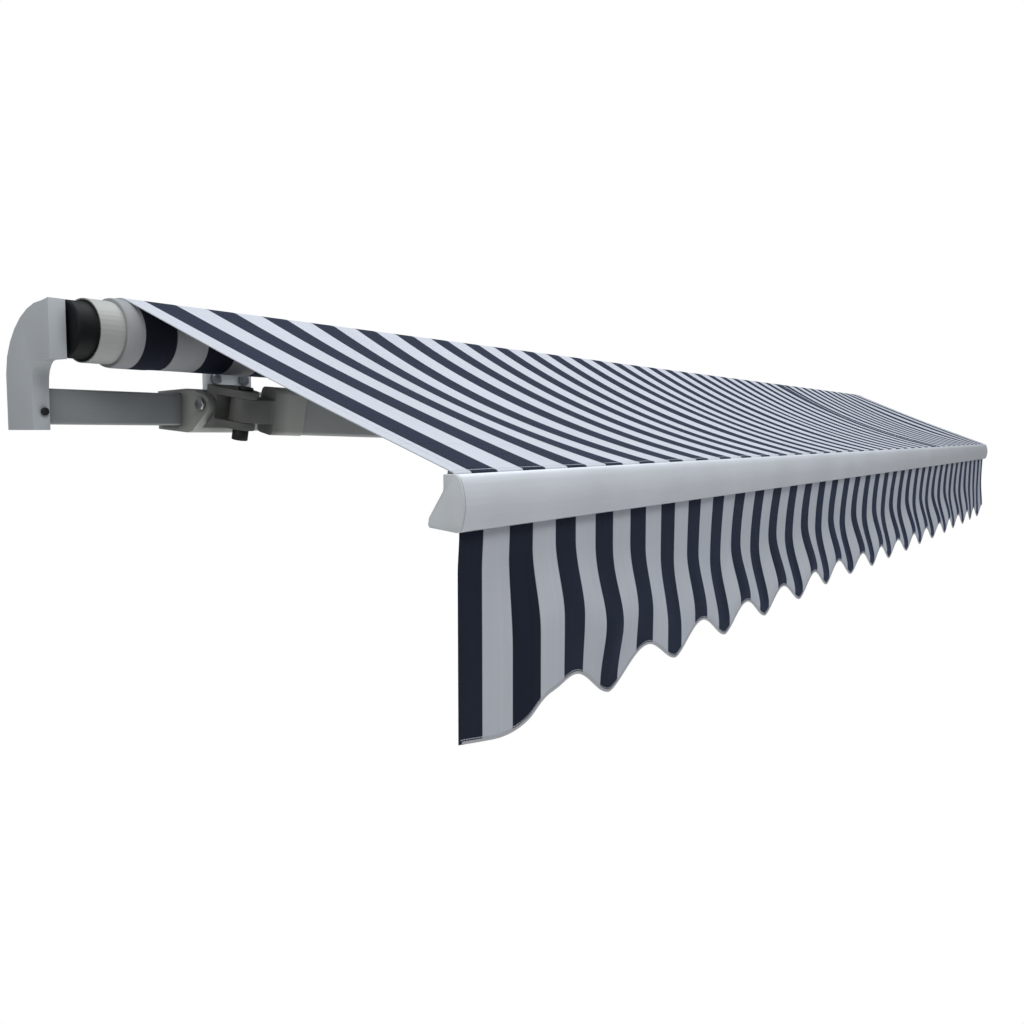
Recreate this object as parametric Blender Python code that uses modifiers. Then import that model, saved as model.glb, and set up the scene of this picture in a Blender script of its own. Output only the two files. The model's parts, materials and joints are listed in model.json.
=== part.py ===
"""Fabric awning with two folding arms, opened a little way from the wall.

Metres, +Z up. The wall is the plane Y = 0, the awning comes out towards -Y, X runs along
its width, and the origin is on the wall at mid width, level with the square bar.
"""

import math

import bmesh
import bpy
from mathutils import Matrix, Vector

# Overall width and the square bar
WIDTH = 3.520
BAR_SIDE = 0.040
BAR_WALL = 0.0025
BAR_BACK = 0.0066
CLEAR = 0.0003

# End brackets
BRACKET_THICK = 0.020
BRACKET_POCKET = 0.012
BRACKET_FRONT = 0.0495
BRACKET_BOTTOM = 0.0265
BRACKET_TOP = 0.115
HOOK_REACH = 0.0855
HOOK_DROP = 0.0645
BRACKET_SCREW_R = 0.0025
BRACKET_SCREW_IN = 0.0135
BRACKET_SCREW_Z = -0.006
PLUG_LENGTH = 0.012

# Roller, its fabric and its ends
ROLL_Y = -0.072
ROLL_Z = 0.0845
ROLLER_R = 0.0360
ROLLER_WALL = 0.0015
ROLL_R = 0.0400
ROLL_IN = 0.0800
AXLE_R = 0.0060
AXLE_START = 0.0063
AXLE_END = 0.0597
CAP_R = 0.0320
CAP_START = 0.0238
CAP_STEP_LEFT = 0.0475
CAP_STEP_RIGHT = 0.0785
CAP_SPIGOT = 0.0320
CAP_CHAMFER = 0.0024

# Crank gear at the right end
WHEEL_R = 0.0180
WHEEL_TEETH = 24
WHEEL_TOOTH = 0.0022
WHEEL_START = 0.030
WHEEL_THICK = 0.014
DRIVE_R = 0.0080
DRIVE_END = 0.100
WORM_R = 0.0055
GEAR_WALL = 0.0030
GEAR_DEPTH = 0.0327
GEAR_LID = 0.0030
GEAR_ROOM = 0.0010
CRANK_SHAFT_DROP = 0.034
CRANK_EYE_R = 0.0130
CRANK_EYE_WIRE = 0.0035

# Wall brackets and their bolts
WALL_BRACKET_IN = 0.312
WALL_BRACKET_WIDTH = 0.080
WALL_PLATE_TOP = 0.060
WALL_JAW = 0.0060
WALL_LIP = 0.0073
WALL_LIP_THICK = 0.0040
WALL_BOLT_R = 0.0050
WALL_BOLT_HEAD_R = 0.0080
WALL_BOLT_HEAD = 0.0050
WALL_BOLT_UP = 0.0440
WALL_BOLT_SPREAD = 0.0240

# Arm supports, pitch bolts and shoulder yokes
SHOULDER_IN = 0.240
SHOULDER_Y = -0.115
SHOULDER_Z = 0.0
ARM_PITCH = math.radians(12.0)
SUPPORT_OUTER = 0.040
SUPPORT_INNER = 0.032
SUPPORT_FRONT = 0.0705
SUPPORT_TOP = 0.0263
SUPPORT_BOTTOM = 0.0290
SUPPORT_RIM = 0.0040
CHEEK = 0.012
CHEEK_NOSE_R = 0.0125
PITCH_REACH = 0.030
PITCH_BOLT_R = 0.0050
PITCH_HEAD_R = 0.0080
PITCH_HEAD = 0.0052
YOKE_BACK = 0.0385
YOKE_SLOT_BACK = 0.0195
YOKE_NOSE_R = 0.0170
YOKE_HALF_HEIGHT = 0.0245
EYE_HALF_HEIGHT = 0.0150
EYE_R = 0.0165
PIN_R = 0.0060
PIN_HEAD_R = 0.0095
PIN_HEAD = 0.0037
PIN_NUT_R = 0.0100
PIN_NUT = 0.0140

# Arms, measured from pivot to pivot
ARM_LENGTH = 1.250
ARM_ANGLE = math.radians(8.0)
ELBOW_OFFSET = 0.0220
UPPER_HEIGHT = 0.058
UPPER_DEPTH = 0.032
UPPER_WALL = 0.0024
FORE_HEIGHT = 0.048
FORE_DEPTH = 0.026
FORE_WALL = 0.0022
TUBE_CORNER = 0.0060
ROOT_BODY_START = 0.036
ROOT_BODY_END = 0.085
SPIGOT = 0.035
COLLAR_PROUD = 0.0010
ELBOW_BODY = 0.075
ELBOW_WEB = 0.052
ELBOW_FORK_R = 0.0180
ELBOW_FORK_HALF = 0.0285
FORE_TONGUE = 0.085
FORE_COLLAR = 0.010
WRIST_EYE_R = 0.0145
WRIST_EYE_HALF = 0.0165
WRIST_BODY = 0.060
WRIST_FORK_HALF = 0.0238
WRIST_FORK_R = 0.0160
WRIST_FORK_ROOT = 0.045
WRIST_SLOT = 0.033
OPEN_WRIST_CLEAR = 0.0010

# Front bar and what hangs on it
FRONT_OUT = 0.0872
FRONT_ABOVE_WRIST = 0.0043
FRONT_HEIGHT = 0.0540
FRONT_FACE = 0.0095
FRONT_BULGE = 0.0145
FRONT_BACK_TOP = 0.0092
FRONT_BACK_LOW = 0.0275
FRONT_WALL = 0.0020
FRONT_IN = 0.1084
FRONT_CAP = 0.0030
FRONT_CAP_SPIGOT = 0.012
KEDER_R = 0.0036
CHANNEL_R = 0.0042
CHANNEL_DEPTH = 0.0078
SLIT_TOP = 0.0026
SLIT_BOTTOM = 0.0036
SADDLE_HALF = 0.033
SADDLE_BACK = 0.0505
SADDLE_BOLT_R = 0.0030
SADDLE_BOLT_HEAD_R = 0.0055
SADDLE_BOLT_HEAD = 0.0040
SADDLE_BOLT_X = 0.0265
SADDLE_BOLT_UP = 0.0235

# Fabric
FABRIC_IN = 0.1094
STRIPE_PERIOD = 0.0905
SHEET_THICK = 0.0012
HEM_LENGTH = 0.070
VALANCE_DROP = 0.2070
VALANCE_IN = 0.1180
VALANCE_THICK = 0.0016
SCALLOP_DEPTH = 0.0360
FIRST_LOW = 0.0180
FOLD_DEPTH = 0.0060
VALANCE_COLUMNS = 150
VALANCE_ROWS = 5

# Values that follow from the ones above
HALF = WIDTH / 2
FABRIC_WIDTH = WIDTH - 2 * FABRIC_IN
VALANCE_WIDTH = WIDTH - 2 * VALANCE_IN
BAR_Y = -(BAR_BACK + BAR_SIDE / 2)
BAR_FRONT = -(BAR_BACK + BAR_SIDE)
ARM_SKEW = math.asin(ELBOW_OFFSET / ARM_LENGTH)
TUBE_ANGLE = ARM_ANGLE - ARM_SKEW
ELBOW_ALONG = ARM_LENGTH * math.cos(ARM_SKEW)
WRIST_OUT = 2 * ARM_LENGTH * math.sin(ARM_ANGLE)
WRIST_Y = SHOULDER_Y - WRIST_OUT * math.cos(ARM_PITCH)
WRIST_Z = SHOULDER_Z - WRIST_OUT * math.sin(ARM_PITCH)
FRONT_Y = WRIST_Y - FRONT_OUT
FRONT_TOP = WRIST_Z + FRONT_ABOVE_WRIST
FRONT_BOTTOM = FRONT_TOP - FRONT_HEIGHT
SADDLE_BOLT_Z = FRONT_BOTTOM + SADDLE_BOLT_UP
VALANCE_BOTTOM = FRONT_BOTTOM - VALANCE_DROP
WORM_Y = ROLL_Y - WHEEL_R - WORM_R - CLEAR
GEAR_START = BRACKET_THICK + CLEAR
GEAR_END = GEAR_START + GEAR_DEPTH
GEAR_LID_END = GEAR_END + CLEAR + GEAR_LID

PARTS = bpy.data.collections.new("fabric_awning")
CUTTERS = bpy.data.collections.new("cutters")

GREY_CAST = ((0.33, 0.34, 0.35), 0.55, 0.35)
GREY_BAR = ((0.30, 0.30, 0.31), 0.50, 0.30)
ARM_COAT = ((0.36, 0.36, 0.36), 0.45, 0.40)
SILVER = ((0.62, 0.64, 0.68), 0.32, 0.75)
STEEL = ((0.52, 0.52, 0.53), 0.30, 1.00)
DARK_STEEL = ((0.09, 0.09, 0.09), 0.45, 0.70)
BLACK_PLASTIC = ((0.012, 0.012, 0.014), 0.45, 0.00)
GREY_PLASTIC = ((0.40, 0.41, 0.42), 0.55, 0.00)
CLOTH = ((0.60, 0.61, 0.66), 0.90, 0.00)


def clear_scene():
    """Remove what the scene holds and link the two collections."""
    for obj in list(bpy.data.objects):
        bpy.data.objects.remove(obj, do_unlink=True)
    bpy.context.scene.collection.children.link(PARTS)
    bpy.context.scene.collection.children.link(CUTTERS)


def make_material(name, look):
    colour, roughness, metallic = look
    material = bpy.data.materials.new(name)
    material.use_nodes = True
    shader = material.node_tree.nodes["Principled BSDF"]
    shader.inputs["Base Color"].default_value = (*colour, 1.0)
    shader.inputs["Roughness"].default_value = roughness
    shader.inputs["Metallic"].default_value = metallic
    return material


def place(obj, look=None, parent=None, location=(0, 0, 0), rotation=(0, 0, 0)):
    """Link an object: with a look it is a part, without one it is a cutter."""
    if look is None:
        CUTTERS.objects.link(obj)
        obj.hide_render = True
        obj.display_type = "WIRE"
    else:
        PARTS.objects.link(obj)
        obj.data.materials.append(make_material(obj.name, look))
    obj.location = location
    obj.rotation_euler = rotation
    obj.parent = parent
    return obj


def frame(name, location, rotation=(0, 0, 0), parent=None):
    """An empty that carries a local frame."""
    empty = bpy.data.objects.new(name, None)
    empty.empty_display_size = 0.05
    PARTS.objects.link(empty)
    empty.location = location
    empty.rotation_euler = rotation
    empty.parent = parent
    return empty


def box(name, size, look=None, parent=None, location=(0, 0, 0), rotation=(0, 0, 0)):
    mesh = bpy.data.meshes.new(name)
    bm = bmesh.new()
    bmesh.ops.create_cube(bm, size=1.0)
    bmesh.ops.scale(bm, vec=Vector(size), verts=bm.verts)
    bm.to_mesh(mesh)
    bm.free()
    return place(bpy.data.objects.new(name, mesh), look, parent, location, rotation)


def cylinder(name, radius, length, look=None, parent=None, location=(0, 0, 0), rotation=(0, 0, 0), sides=28):
    mesh = bpy.data.meshes.new(name)
    bm = bmesh.new()
    bmesh.ops.create_cone(bm, cap_ends=True, segments=sides, radius1=radius, radius2=radius, depth=length)
    bm.to_mesh(mesh)
    bm.free()
    smooth(mesh)
    return place(bpy.data.objects.new(name, mesh), look, parent, location, rotation)


def smooth(mesh):
    mesh.shade_smooth()
    mesh.set_sharp_from_angle(angle=math.radians(35))


def prism(name, outline, depth, look=None, parent=None, location=(0, 0, 0), rotation=(0, 0, 0), holes=()):
    """A flat outline, with holes if it has any, given a thickness and welded into a mesh."""
    curve = bpy.data.curves.new(name + "_outline", "CURVE")
    curve.dimensions = "2D"
    curve.fill_mode = "BOTH"
    curve.extrude = depth / 2
    for loop in (outline, *holes):
        spline = curve.splines.new("POLY")
        spline.points.add(len(loop) - 1)
        for point, (u, v) in zip(spline.points, loop):
            point.co = (u, v, 0.0, 1.0)
        spline.use_cyclic_u = True
    drawn = bpy.data.objects.new(name + "_outline", curve)
    PARTS.objects.link(drawn)
    depsgraph = bpy.context.evaluated_depsgraph_get()
    mesh = bpy.data.meshes.new_from_object(drawn.evaluated_get(depsgraph))
    mesh.name = name
    bpy.data.objects.remove(drawn, do_unlink=True)
    bpy.data.curves.remove(curve)
    bm = bmesh.new()
    bm.from_mesh(mesh)
    bmesh.ops.remove_doubles(bm, verts=bm.verts, dist=0.00002)
    bmesh.ops.recalc_face_normals(bm, faces=bm.faces)
    bm.to_mesh(mesh)
    bm.free()
    mesh.materials.clear()
    smooth(mesh)
    return place(bpy.data.objects.new(name, mesh), look, parent, location, rotation)


def turned(name, profile, look=None, parent=None, location=(0, 0, 0), rotation=(0, 0, 0), ring=False, sides=32):
    """A profile of radius and height pairs turned about the local Z axis."""
    mesh = bpy.data.meshes.new(name)
    bm = bmesh.new()
    points = [bm.verts.new((radius, 0.0, height)) for radius, height in profile]
    for first, second in zip(points, points[1:]):
        bm.edges.new((first, second))
    if ring:
        bm.edges.new((points[-1], points[0]))
    bm.to_mesh(mesh)
    bm.free()
    obj = place(bpy.data.objects.new(name, mesh), look, parent, location, rotation)
    screw = obj.modifiers.new("turn", "SCREW")
    screw.steps = sides
    screw.render_steps = sides
    screw.use_merge_vertices = True
    screw.merge_threshold = 0.00002
    return obj


def shape(target, tool, operation="DIFFERENCE"):
    """Cut the tool out of the target, or join it on."""
    step = target.modifiers.new(operation.lower(), "BOOLEAN")
    step.operation = operation
    step.solver = "EXACT"
    step.object = tool


def arc(centre, radius, start, end, steps):
    """Points on an arc, angles in degrees."""
    angles = [math.radians(start + (end - start) * i / steps) for i in range(steps + 1)]
    return [(centre[0] + radius * math.cos(a), centre[1] + radius * math.sin(a)) for a in angles]


def round_rect(width, height, radius, steps=4):
    """A rectangle about its own centre with round corners."""
    a = width / 2 - radius
    b = height / 2 - radius
    points = []
    for sx, sy, start in ((1, 1, 0), (-1, 1, 90), (-1, -1, 180), (1, -1, 270)):
        points += arc((sx * a, sy * b), radius, start, start + 90, steps)
    return points


def hull(points):
    """The convex outline around some points."""
    points = sorted(set(points))

    def half(sequence):
        chain = []
        for p in sequence:
            while len(chain) > 1 and cross(chain[-2], chain[-1], p) <= 1e-12:
                chain.pop()
            chain.append(p)
        return chain[:-1]

    return half(points) + half(list(reversed(points)))


def cross(a, b, c):
    return (b[0] - a[0]) * (c[1] - a[1]) - (b[1] - a[1]) * (c[0] - a[0])


def inset(outline, distance):
    """A convex outline, counter-clockwise, moved inwards by a distance."""
    count = len(outline)
    lines = []
    for i in range(count):
        a = Vector(outline[i])
        b = Vector(outline[(i + 1) % count])
        along = (b - a).normalized()
        lines.append((a + Vector((-along.y, along.x)) * distance, along))
    result = []
    for i in range(count):
        p, u = lines[i - 1]
        q, w = lines[i]
        share = ((q - p).x * w.y - (q - p).y * w.x) / (u.x * w.y - u.y * w.x)
        result.append(tuple(p + u * share))
    return result


def mirrored(points, side):
    return [(side * u, v) for u, v in points]


def end_x(side, inward):
    """X at a distance inward from the left end, side 1, or from the right end, side -1."""
    return side * (inward - HALF)


ALONG_X = (math.pi / 2, 0, math.pi / 2)


def turn_inward(side):
    """Rotation that lays a turned piece along X with its height running inward."""
    return (0, side * math.pi / 2, 0)


def bar_and_brackets():
    hole = round_rect(BAR_SIDE - 2 * BAR_WALL, BAR_SIDE - 2 * BAR_WALL, 0.0015, 2)
    outer = round_rect(BAR_SIDE, BAR_SIDE, 0.0030, 3)
    bar_end = BRACKET_THICK - BRACKET_POCKET + CLEAR
    prism("square_bar", outer, WIDTH - 2 * bar_end, GREY_BAR, None, (0, BAR_Y, 0), ALONG_X, [hole])

    crook = 0.42 * (HOOK_REACH - BRACKET_FRONT)
    outline = [(0, -BRACKET_BOTTOM), (0, 0.036)]
    sweep = 7
    for i in range(1, sweep + 1):
        t = math.pi / 2 * i / sweep
        y = -(HOOK_REACH - 0.012) * (1 - math.cos(t)) ** 0.86
        z = 0.036 + (BRACKET_TOP - 0.0025 - 0.036) * math.sin(t) ** 0.92
        outline.append((y, z))
    outline.append((-HOOK_REACH, BRACKET_TOP))
    outline.append((-HOOK_REACH, BRACKET_TOP - HOOK_DROP))
    for i in range(0, 6):
        t = math.pi / 2 * i / 5
        y = -(BRACKET_FRONT + crook * (1 - 0.97 * math.sin(t)))
        z = BRACKET_TOP - HOOK_DROP - 0.026 * (1 - math.cos(t))
        outline.append((y, z))
    outline.append((-BRACKET_FRONT, BRACKET_TOP - HOOK_DROP - 0.030))
    outline.append((-BRACKET_FRONT, -BRACKET_BOTTOM))
    for side, word in ((1, "left"), (-1, "right")):
        bracket = prism("end_bracket_" + word, outline, BRACKET_THICK, GREY_CAST, None,
                        (end_x(side, BRACKET_THICK / 2), 0, 0), ALONG_X)
        pocket = BAR_SIDE + 2 * CLEAR
        depth = BRACKET_POCKET + 0.010
        shape(bracket, box("pocket_" + word, (depth, pocket, pocket), None, None,
                           (end_x(side, BRACKET_THICK - BRACKET_POCKET + depth / 2), BAR_Y, 0)))
        hole_x = end_x(side, BRACKET_SCREW_IN)
        shape(bracket, cylinder("screw_hole_" + word, BRACKET_SCREW_R + CLEAR, 0.020, None, None,
                                (hole_x, -BRACKET_FRONT, BRACKET_SCREW_Z), (math.pi / 2, 0, 0), 20))
        shank = -BAR_FRONT + CLEAR
        profile = [(0, BRACKET_FRONT + 0.0028), (0.0045, BRACKET_FRONT + 0.0028), (0.0045, BRACKET_FRONT + CLEAR),
                   (BRACKET_SCREW_R, BRACKET_FRONT + CLEAR), (BRACKET_SCREW_R, shank), (0, shank)]
        turned("bracket_screw_" + word, profile, DARK_STEEL, None, (hole_x, 0, BRACKET_SCREW_Z),
               (math.pi / 2, 0, 0), False, 20)
        plug = BAR_SIDE - 2 * BAR_WALL - 2 * CLEAR
        prism("bar_plug_" + word, round_rect(plug, plug, 0.0013, 2), PLUG_LENGTH, BLACK_PLASTIC, None,
              (end_x(side, bar_end + PLUG_LENGTH / 2), BAR_Y, 0), ALONG_X)
        if side == 1:
            length = BRACKET_THICK + 0.010 - AXLE_START + CLEAR
            shape(bracket, cylinder("axle_hole", AXLE_R + CLEAR, length, None, None,
                                    (end_x(side, AXLE_START - CLEAR + length / 2), ROLL_Y, ROLL_Z),
                                    (0, math.pi / 2, 0)))


def roller():
    axis = (0, ROLL_Y, ROLL_Z)
    left = (-HALF, ROLL_Y, ROLL_Z)
    right = (HALF, ROLL_Y, ROLL_Z)
    tube_left = end_x(1, CAP_STEP_LEFT + CLEAR)
    tube_right = end_x(-1, CAP_STEP_RIGHT + CLEAR)
    inner = ROLLER_R - ROLLER_WALL
    turned("roller_tube", [(ROLLER_R, tube_right), (ROLLER_R, tube_left), (inner, tube_left), (inner, tube_right)],
           STEEL, None, axis, turn_inward(1), True, 40)
    half_roll = HALF - ROLL_IN
    inside = ROLLER_R + CLEAR
    turned("fabric_roll", [(ROLL_R, half_roll), (ROLL_R, -half_roll), (inside, -half_roll), (inside, half_roll)],
           CLOTH, None, axis, turn_inward(1), True, 48)
    spigot = inner - CLEAR
    turned("axle_pin", [(0, AXLE_END), (AXLE_R, AXLE_END), (AXLE_R, AXLE_START), (0, AXLE_START)], STEEL, None,
           left, turn_inward(1), False, 24)
    bore = AXLE_R + CLEAR
    turned("roller_cap_left",
           [(0, CAP_STEP_LEFT + CAP_SPIGOT), (spigot, CAP_STEP_LEFT + CAP_SPIGOT), (spigot, CAP_STEP_LEFT),
            (CAP_R, CAP_STEP_LEFT), (CAP_R, CAP_START + CAP_CHAMFER),
            (CAP_R - CAP_CHAMFER, CAP_START), (bore, CAP_START), (bore, AXLE_END + CLEAR), (0, AXLE_END + CLEAR)],
           BLACK_PLASTIC, None, left, turn_inward(1), False, 40)
    start = GEAR_LID_END + CLEAR
    bore = DRIVE_R + CLEAR
    turned("roller_cap_right",
           [(0, CAP_STEP_RIGHT + CAP_SPIGOT), (spigot, CAP_STEP_RIGHT + CAP_SPIGOT), (spigot, CAP_STEP_RIGHT),
            (CAP_R, CAP_STEP_RIGHT), (CAP_R, start + CAP_CHAMFER),
            (CAP_R - CAP_CHAMFER, start), (bore, start), (bore, DRIVE_END + CLEAR), (0, DRIVE_END + CLEAR)],
           BLACK_PLASTIC, None, right, turn_inward(-1), False, 40)


def crank_gear():
    side = -1
    y_back = ROLL_Y + WHEEL_R + GEAR_ROOM
    y_front = WORM_Y - WORM_R - GEAR_ROOM
    z_low = ROLL_Z - WHEEL_R - GEAR_ROOM
    z_high = ROLL_Z + WHEEL_R + GEAR_ROOM
    middle = (y_back + y_front) / 2
    wide = y_back - y_front
    tall = z_high - z_low
    outer = round_rect(wide + 2 * GEAR_WALL, tall + 2 * GEAR_WALL, 0.0050, 4)
    cavity = round_rect(wide, tall, 0.0008, 2)
    housing = prism("gear_housing", outer, GEAR_DEPTH, GREY_CAST, None,
                    (end_x(side, GEAR_START + GEAR_DEPTH / 2), middle, ROLL_Z), ALONG_X)
    room = GEAR_DEPTH - GEAR_WALL
    shape(housing, prism("gear_room", cavity, room + 0.010, None, None,
                         (end_x(side, GEAR_START + GEAR_WALL + room / 2 + 0.005), middle, ROLL_Z), ALONG_X))
    worm_x = end_x(side, WHEEL_START + WHEEL_THICK / 2)
    shape(housing, cylinder("worm_hole", WORM_R + CLEAR, 0.020, None, None, (worm_x, WORM_Y, z_low - 0.002)))
    lid = prism("gear_lid", outer, GEAR_LID, GREY_CAST, None,
                (end_x(side, GEAR_END + CLEAR + GEAR_LID / 2), middle, ROLL_Z), ALONG_X)
    shape(lid, cylinder("lid_hole", DRIVE_R + CLEAR, 0.020, None, None,
                        (end_x(side, GEAR_END), ROLL_Y, ROLL_Z), (0, math.pi / 2, 0)))

    teeth = []
    for i in range(WHEEL_TEETH):
        for share, radius in ((0.08, WHEEL_R - WHEEL_TOOTH), (0.32, WHEEL_R), (0.68, WHEEL_R),
                              (0.92, WHEEL_R - WHEEL_TOOTH)):
            angle = 2 * math.pi * (i + share) / WHEEL_TEETH
            teeth.append((radius * math.cos(angle), radius * math.sin(angle)))
    wheel = prism("worm_wheel", teeth, WHEEL_THICK, STEEL, None, (worm_x, ROLL_Y, ROLL_Z), ALONG_X)
    start = GEAR_START + GEAR_WALL + CLEAR
    shape(wheel, cylinder("drive_shaft", DRIVE_R, DRIVE_END - start, None, None,
                          (end_x(side, (start + DRIVE_END) / 2), ROLL_Y, ROLL_Z), (0, math.pi / 2, 0)), "UNION")

    top = z_high - CLEAR
    bottom = z_low - GEAR_WALL - CRANK_SHAFT_DROP
    worm = cylinder("crank_worm", WORM_R, top - bottom, DARK_STEEL, None, (worm_x, WORM_Y, (top + bottom) / 2),
                    (0, 0, 0), 20)
    shape(worm, eye_ring("crank_eye_ring", (worm_x, WORM_Y, bottom - CRANK_EYE_R + CRANK_EYE_WIRE)), "UNION")


def eye_ring(name, location):
    """A standing ring turned from a round section."""
    section = arc((CRANK_EYE_R, 0), CRANK_EYE_WIRE, 90, -225, 7)
    return turned(name, section, None, None, location, (math.pi / 2, 0, 0), True, 24)


def bolt(name, head_r, head, shank_r, length, look, location, rotation, parent=None):
    """A hexagon head on a round shank; the head sits at local z from 0 up, the shank below."""
    obj = cylinder(name, head_r, head, look, parent, location, rotation, 6)
    obj.data.transform(Matrix.Translation((0, 0, head / 2)))
    tool = cylinder(name + "_shank", shank_r, length + head / 2, None, parent, location, rotation, 20)
    tool.data.transform(Matrix.Translation((0, 0, -length / 2 + head / 4)))
    shape(obj, tool, "UNION")
    return obj


def wall_fixings():
    plate = BAR_BACK - CLEAR
    grip = BAR_SIDE / 2 + CLEAR
    front = -BAR_FRONT + CLEAR
    lip = grip - WALL_LIP
    outline = [(0, -grip - WALL_JAW), (-front - WALL_LIP_THICK, -grip - WALL_JAW),
               (-front - WALL_LIP_THICK, -lip), (-front, -lip),
               (-front, -grip), (-plate, -grip), (-plate, grip), (-front, grip), (-front, lip),
               (-front - WALL_LIP_THICK, lip), (-front - WALL_LIP_THICK, grip + WALL_JAW),
               (-plate, grip + WALL_JAW), (-plate, WALL_PLATE_TOP), (0, WALL_PLATE_TOP)]
    for side, word in ((1, "left"), (-1, "right")):
        x = end_x(side, WALL_BRACKET_IN)
        bracket = prism("wall_bracket_" + word, outline, WALL_BRACKET_WIDTH, GREY_CAST, None, (x, 0, 0), ALONG_X)
        for away, place_word in ((-side, "outer"), (side, "inner")):
            tag = word + "_" + place_word
            at = x + away * WALL_BOLT_SPREAD
            shape(bracket, cylinder("bolt_hole_" + tag, WALL_BOLT_R + CLEAR, 0.040, None, None,
                                    (at, 0, WALL_BOLT_UP), (math.pi / 2, 0, 0), 20))
            bolt("wall_bolt_" + tag, WALL_BOLT_HEAD_R, WALL_BOLT_HEAD, WALL_BOLT_R, plate + CLEAR,
                 STEEL, (at, -plate - CLEAR, WALL_BOLT_UP), (math.pi / 2, 0, 0))


def arm_frames(side, word):
    """The shoulder frame lies in the arms' sloping plane; local -Y points out, local Z is the hinge axis."""
    x = end_x(side, SHOULDER_IN)
    shoulder = frame("shoulder_frame_" + word, (x, SHOULDER_Y, SHOULDER_Z), (ARM_PITCH, 0, 0))
    upper = frame("upper_frame_" + word, (0, 0, 0), (0, 0, -side * TUBE_ANGLE), shoulder)
    wrist = frame("wrist_frame_" + word, (x, WRIST_Y, WRIST_Z), (ARM_PITCH, 0, 0))
    fore = frame("fore_frame_" + word, (0, 0, 0), (0, 0, side * TUBE_ANGLE), wrist)
    return shoulder, upper, wrist, fore


def support(side, word, shoulder):
    x = end_x(side, SHOULDER_IN)
    pitch_y = SHOULDER_Y + PITCH_REACH * math.cos(ARM_PITCH)
    pitch_z = SHOULDER_Z + PITCH_REACH * math.sin(ARM_PITCH)
    nose = arc((pitch_y, pitch_z), CHEEK_NOSE_R, 75, 250, 8)
    round_off = SUPPORT_FRONT - 0.0145
    rim = BAR_SIDE / 2 + CLEAR + SUPPORT_RIM
    outline = hull([(-CLEAR, -rim), (-CLEAR, rim), (-round_off, SUPPORT_TOP),
                    (-SUPPORT_FRONT, SUPPORT_TOP - 0.0028), (-SUPPORT_FRONT + 0.0045, -SUPPORT_BOTTOM + 0.0020),
                    (-round_off, -SUPPORT_BOTTOM)] + nose)
    grip = BAR_SIDE + 2 * CLEAR
    square = [(u + BAR_Y, v) for u, v in round_rect(grip, grip, 0.0020, 2)]
    width = SUPPORT_OUTER + SUPPORT_INNER
    centre = x + side * (SUPPORT_INNER - SUPPORT_OUTER) / 2
    body = prism("arm_support_" + word, outline, width, GREY_CAST, None, (centre, 0, 0), ALONG_X, [square])
    gap = width - 2 * CHEEK
    shape(body, box("yoke_gap_" + word, (gap, 0.060, 0.120), None, None, (centre, -SUPPORT_FRONT - 0.030, 0)))
    shape(body, cylinder("pitch_hole_" + word, PITCH_BOLT_R + CLEAR, width + 0.020, None, None,
                         (centre, pitch_y, pitch_z), (0, math.pi / 2, 0), 24))
    bolt("pitch_bolt_" + word, PITCH_HEAD_R, PITCH_HEAD, PITCH_BOLT_R, width + CLEAR, STEEL,
         (x - side * (SUPPORT_OUTER + CLEAR), pitch_y, pitch_z), (0, -side * math.pi / 2, 0))

    outer_x = -(SUPPORT_OUTER - CHEEK - CLEAR)
    inner_x = SUPPORT_INNER - CHEEK - CLEAR
    rim = [(outer_x, 0.014), (outer_x, YOKE_BACK), (inner_x, YOKE_BACK), (inner_x, 0.014)]
    rim = hull(rim + arc((0, 0), YOKE_NOSE_R, 180, 360, 12))
    yoke = prism("shoulder_yoke_" + word, mirrored(rim, side), 2 * YOKE_HALF_HEIGHT, GREY_CAST, shoulder)
    slot = 2 * (EYE_HALF_HEIGHT + CLEAR)
    shape(yoke, box("eye_slot_" + word, (0.120, 0.060, slot), None, shoulder, (0, YOKE_SLOT_BACK - 0.030, 0)))
    shape(yoke, cylinder("shoulder_hole_" + word, PIN_R + CLEAR, 0.100, None, shoulder))
    shape(yoke, cylinder("yoke_pitch_hole_" + word, PITCH_BOLT_R + CLEAR, 0.120, None, shoulder,
                         (0, PITCH_REACH, 0), (0, math.pi / 2, 0), 24))
    under = YOKE_HALF_HEIGHT + CLEAR
    turned("shoulder_pin_" + word,
           [(0, under + PIN_HEAD), (PIN_HEAD_R, under + PIN_HEAD), (PIN_HEAD_R, under), (PIN_R, under),
            (PIN_R, -under), (PIN_NUT_R, -under), (PIN_NUT_R, -under - PIN_NUT), (0, -under - PIN_NUT)],
           DARK_STEEL, shoulder, (0, 0, 0), (0, 0, 0), False, 24)


def tube(name, height, depth, wall, start, end, look, parent, side):
    outer = round_rect(depth, height, TUBE_CORNER, 4)
    inner = round_rect(depth - 2 * wall, height - 2 * wall, TUBE_CORNER - wall, 3)
    return prism(name, outer, end - start, look, parent, (side * (start + end) / 2, 0, 0), ALONG_X, [inner])


def spigot(name, height, depth, wall, start, end, parent, side):
    """The plug of a casting that fills the end of a tube."""
    tall = height - 2 * wall - 2 * CLEAR
    wide = depth - 2 * wall - 2 * CLEAR
    corner = TUBE_CORNER - wall - CLEAR
    return prism(name, round_rect(wide, tall, corner, 3), abs(end - start), None, parent,
                 (side * (start + end) / 2, 0, 0), ALONG_X)


def collar(name, height, depth, start, end, parent, side):
    """The shoulder of a casting that meets the end of a tube."""
    outline = round_rect(depth + 2 * COLLAR_PROUD, height + 2 * COLLAR_PROUD, TUBE_CORNER + COLLAR_PROUD, 4)
    return prism(name, outline, end - start, None, parent, (side * (start + end) / 2, 0, 0), ALONG_X)


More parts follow.
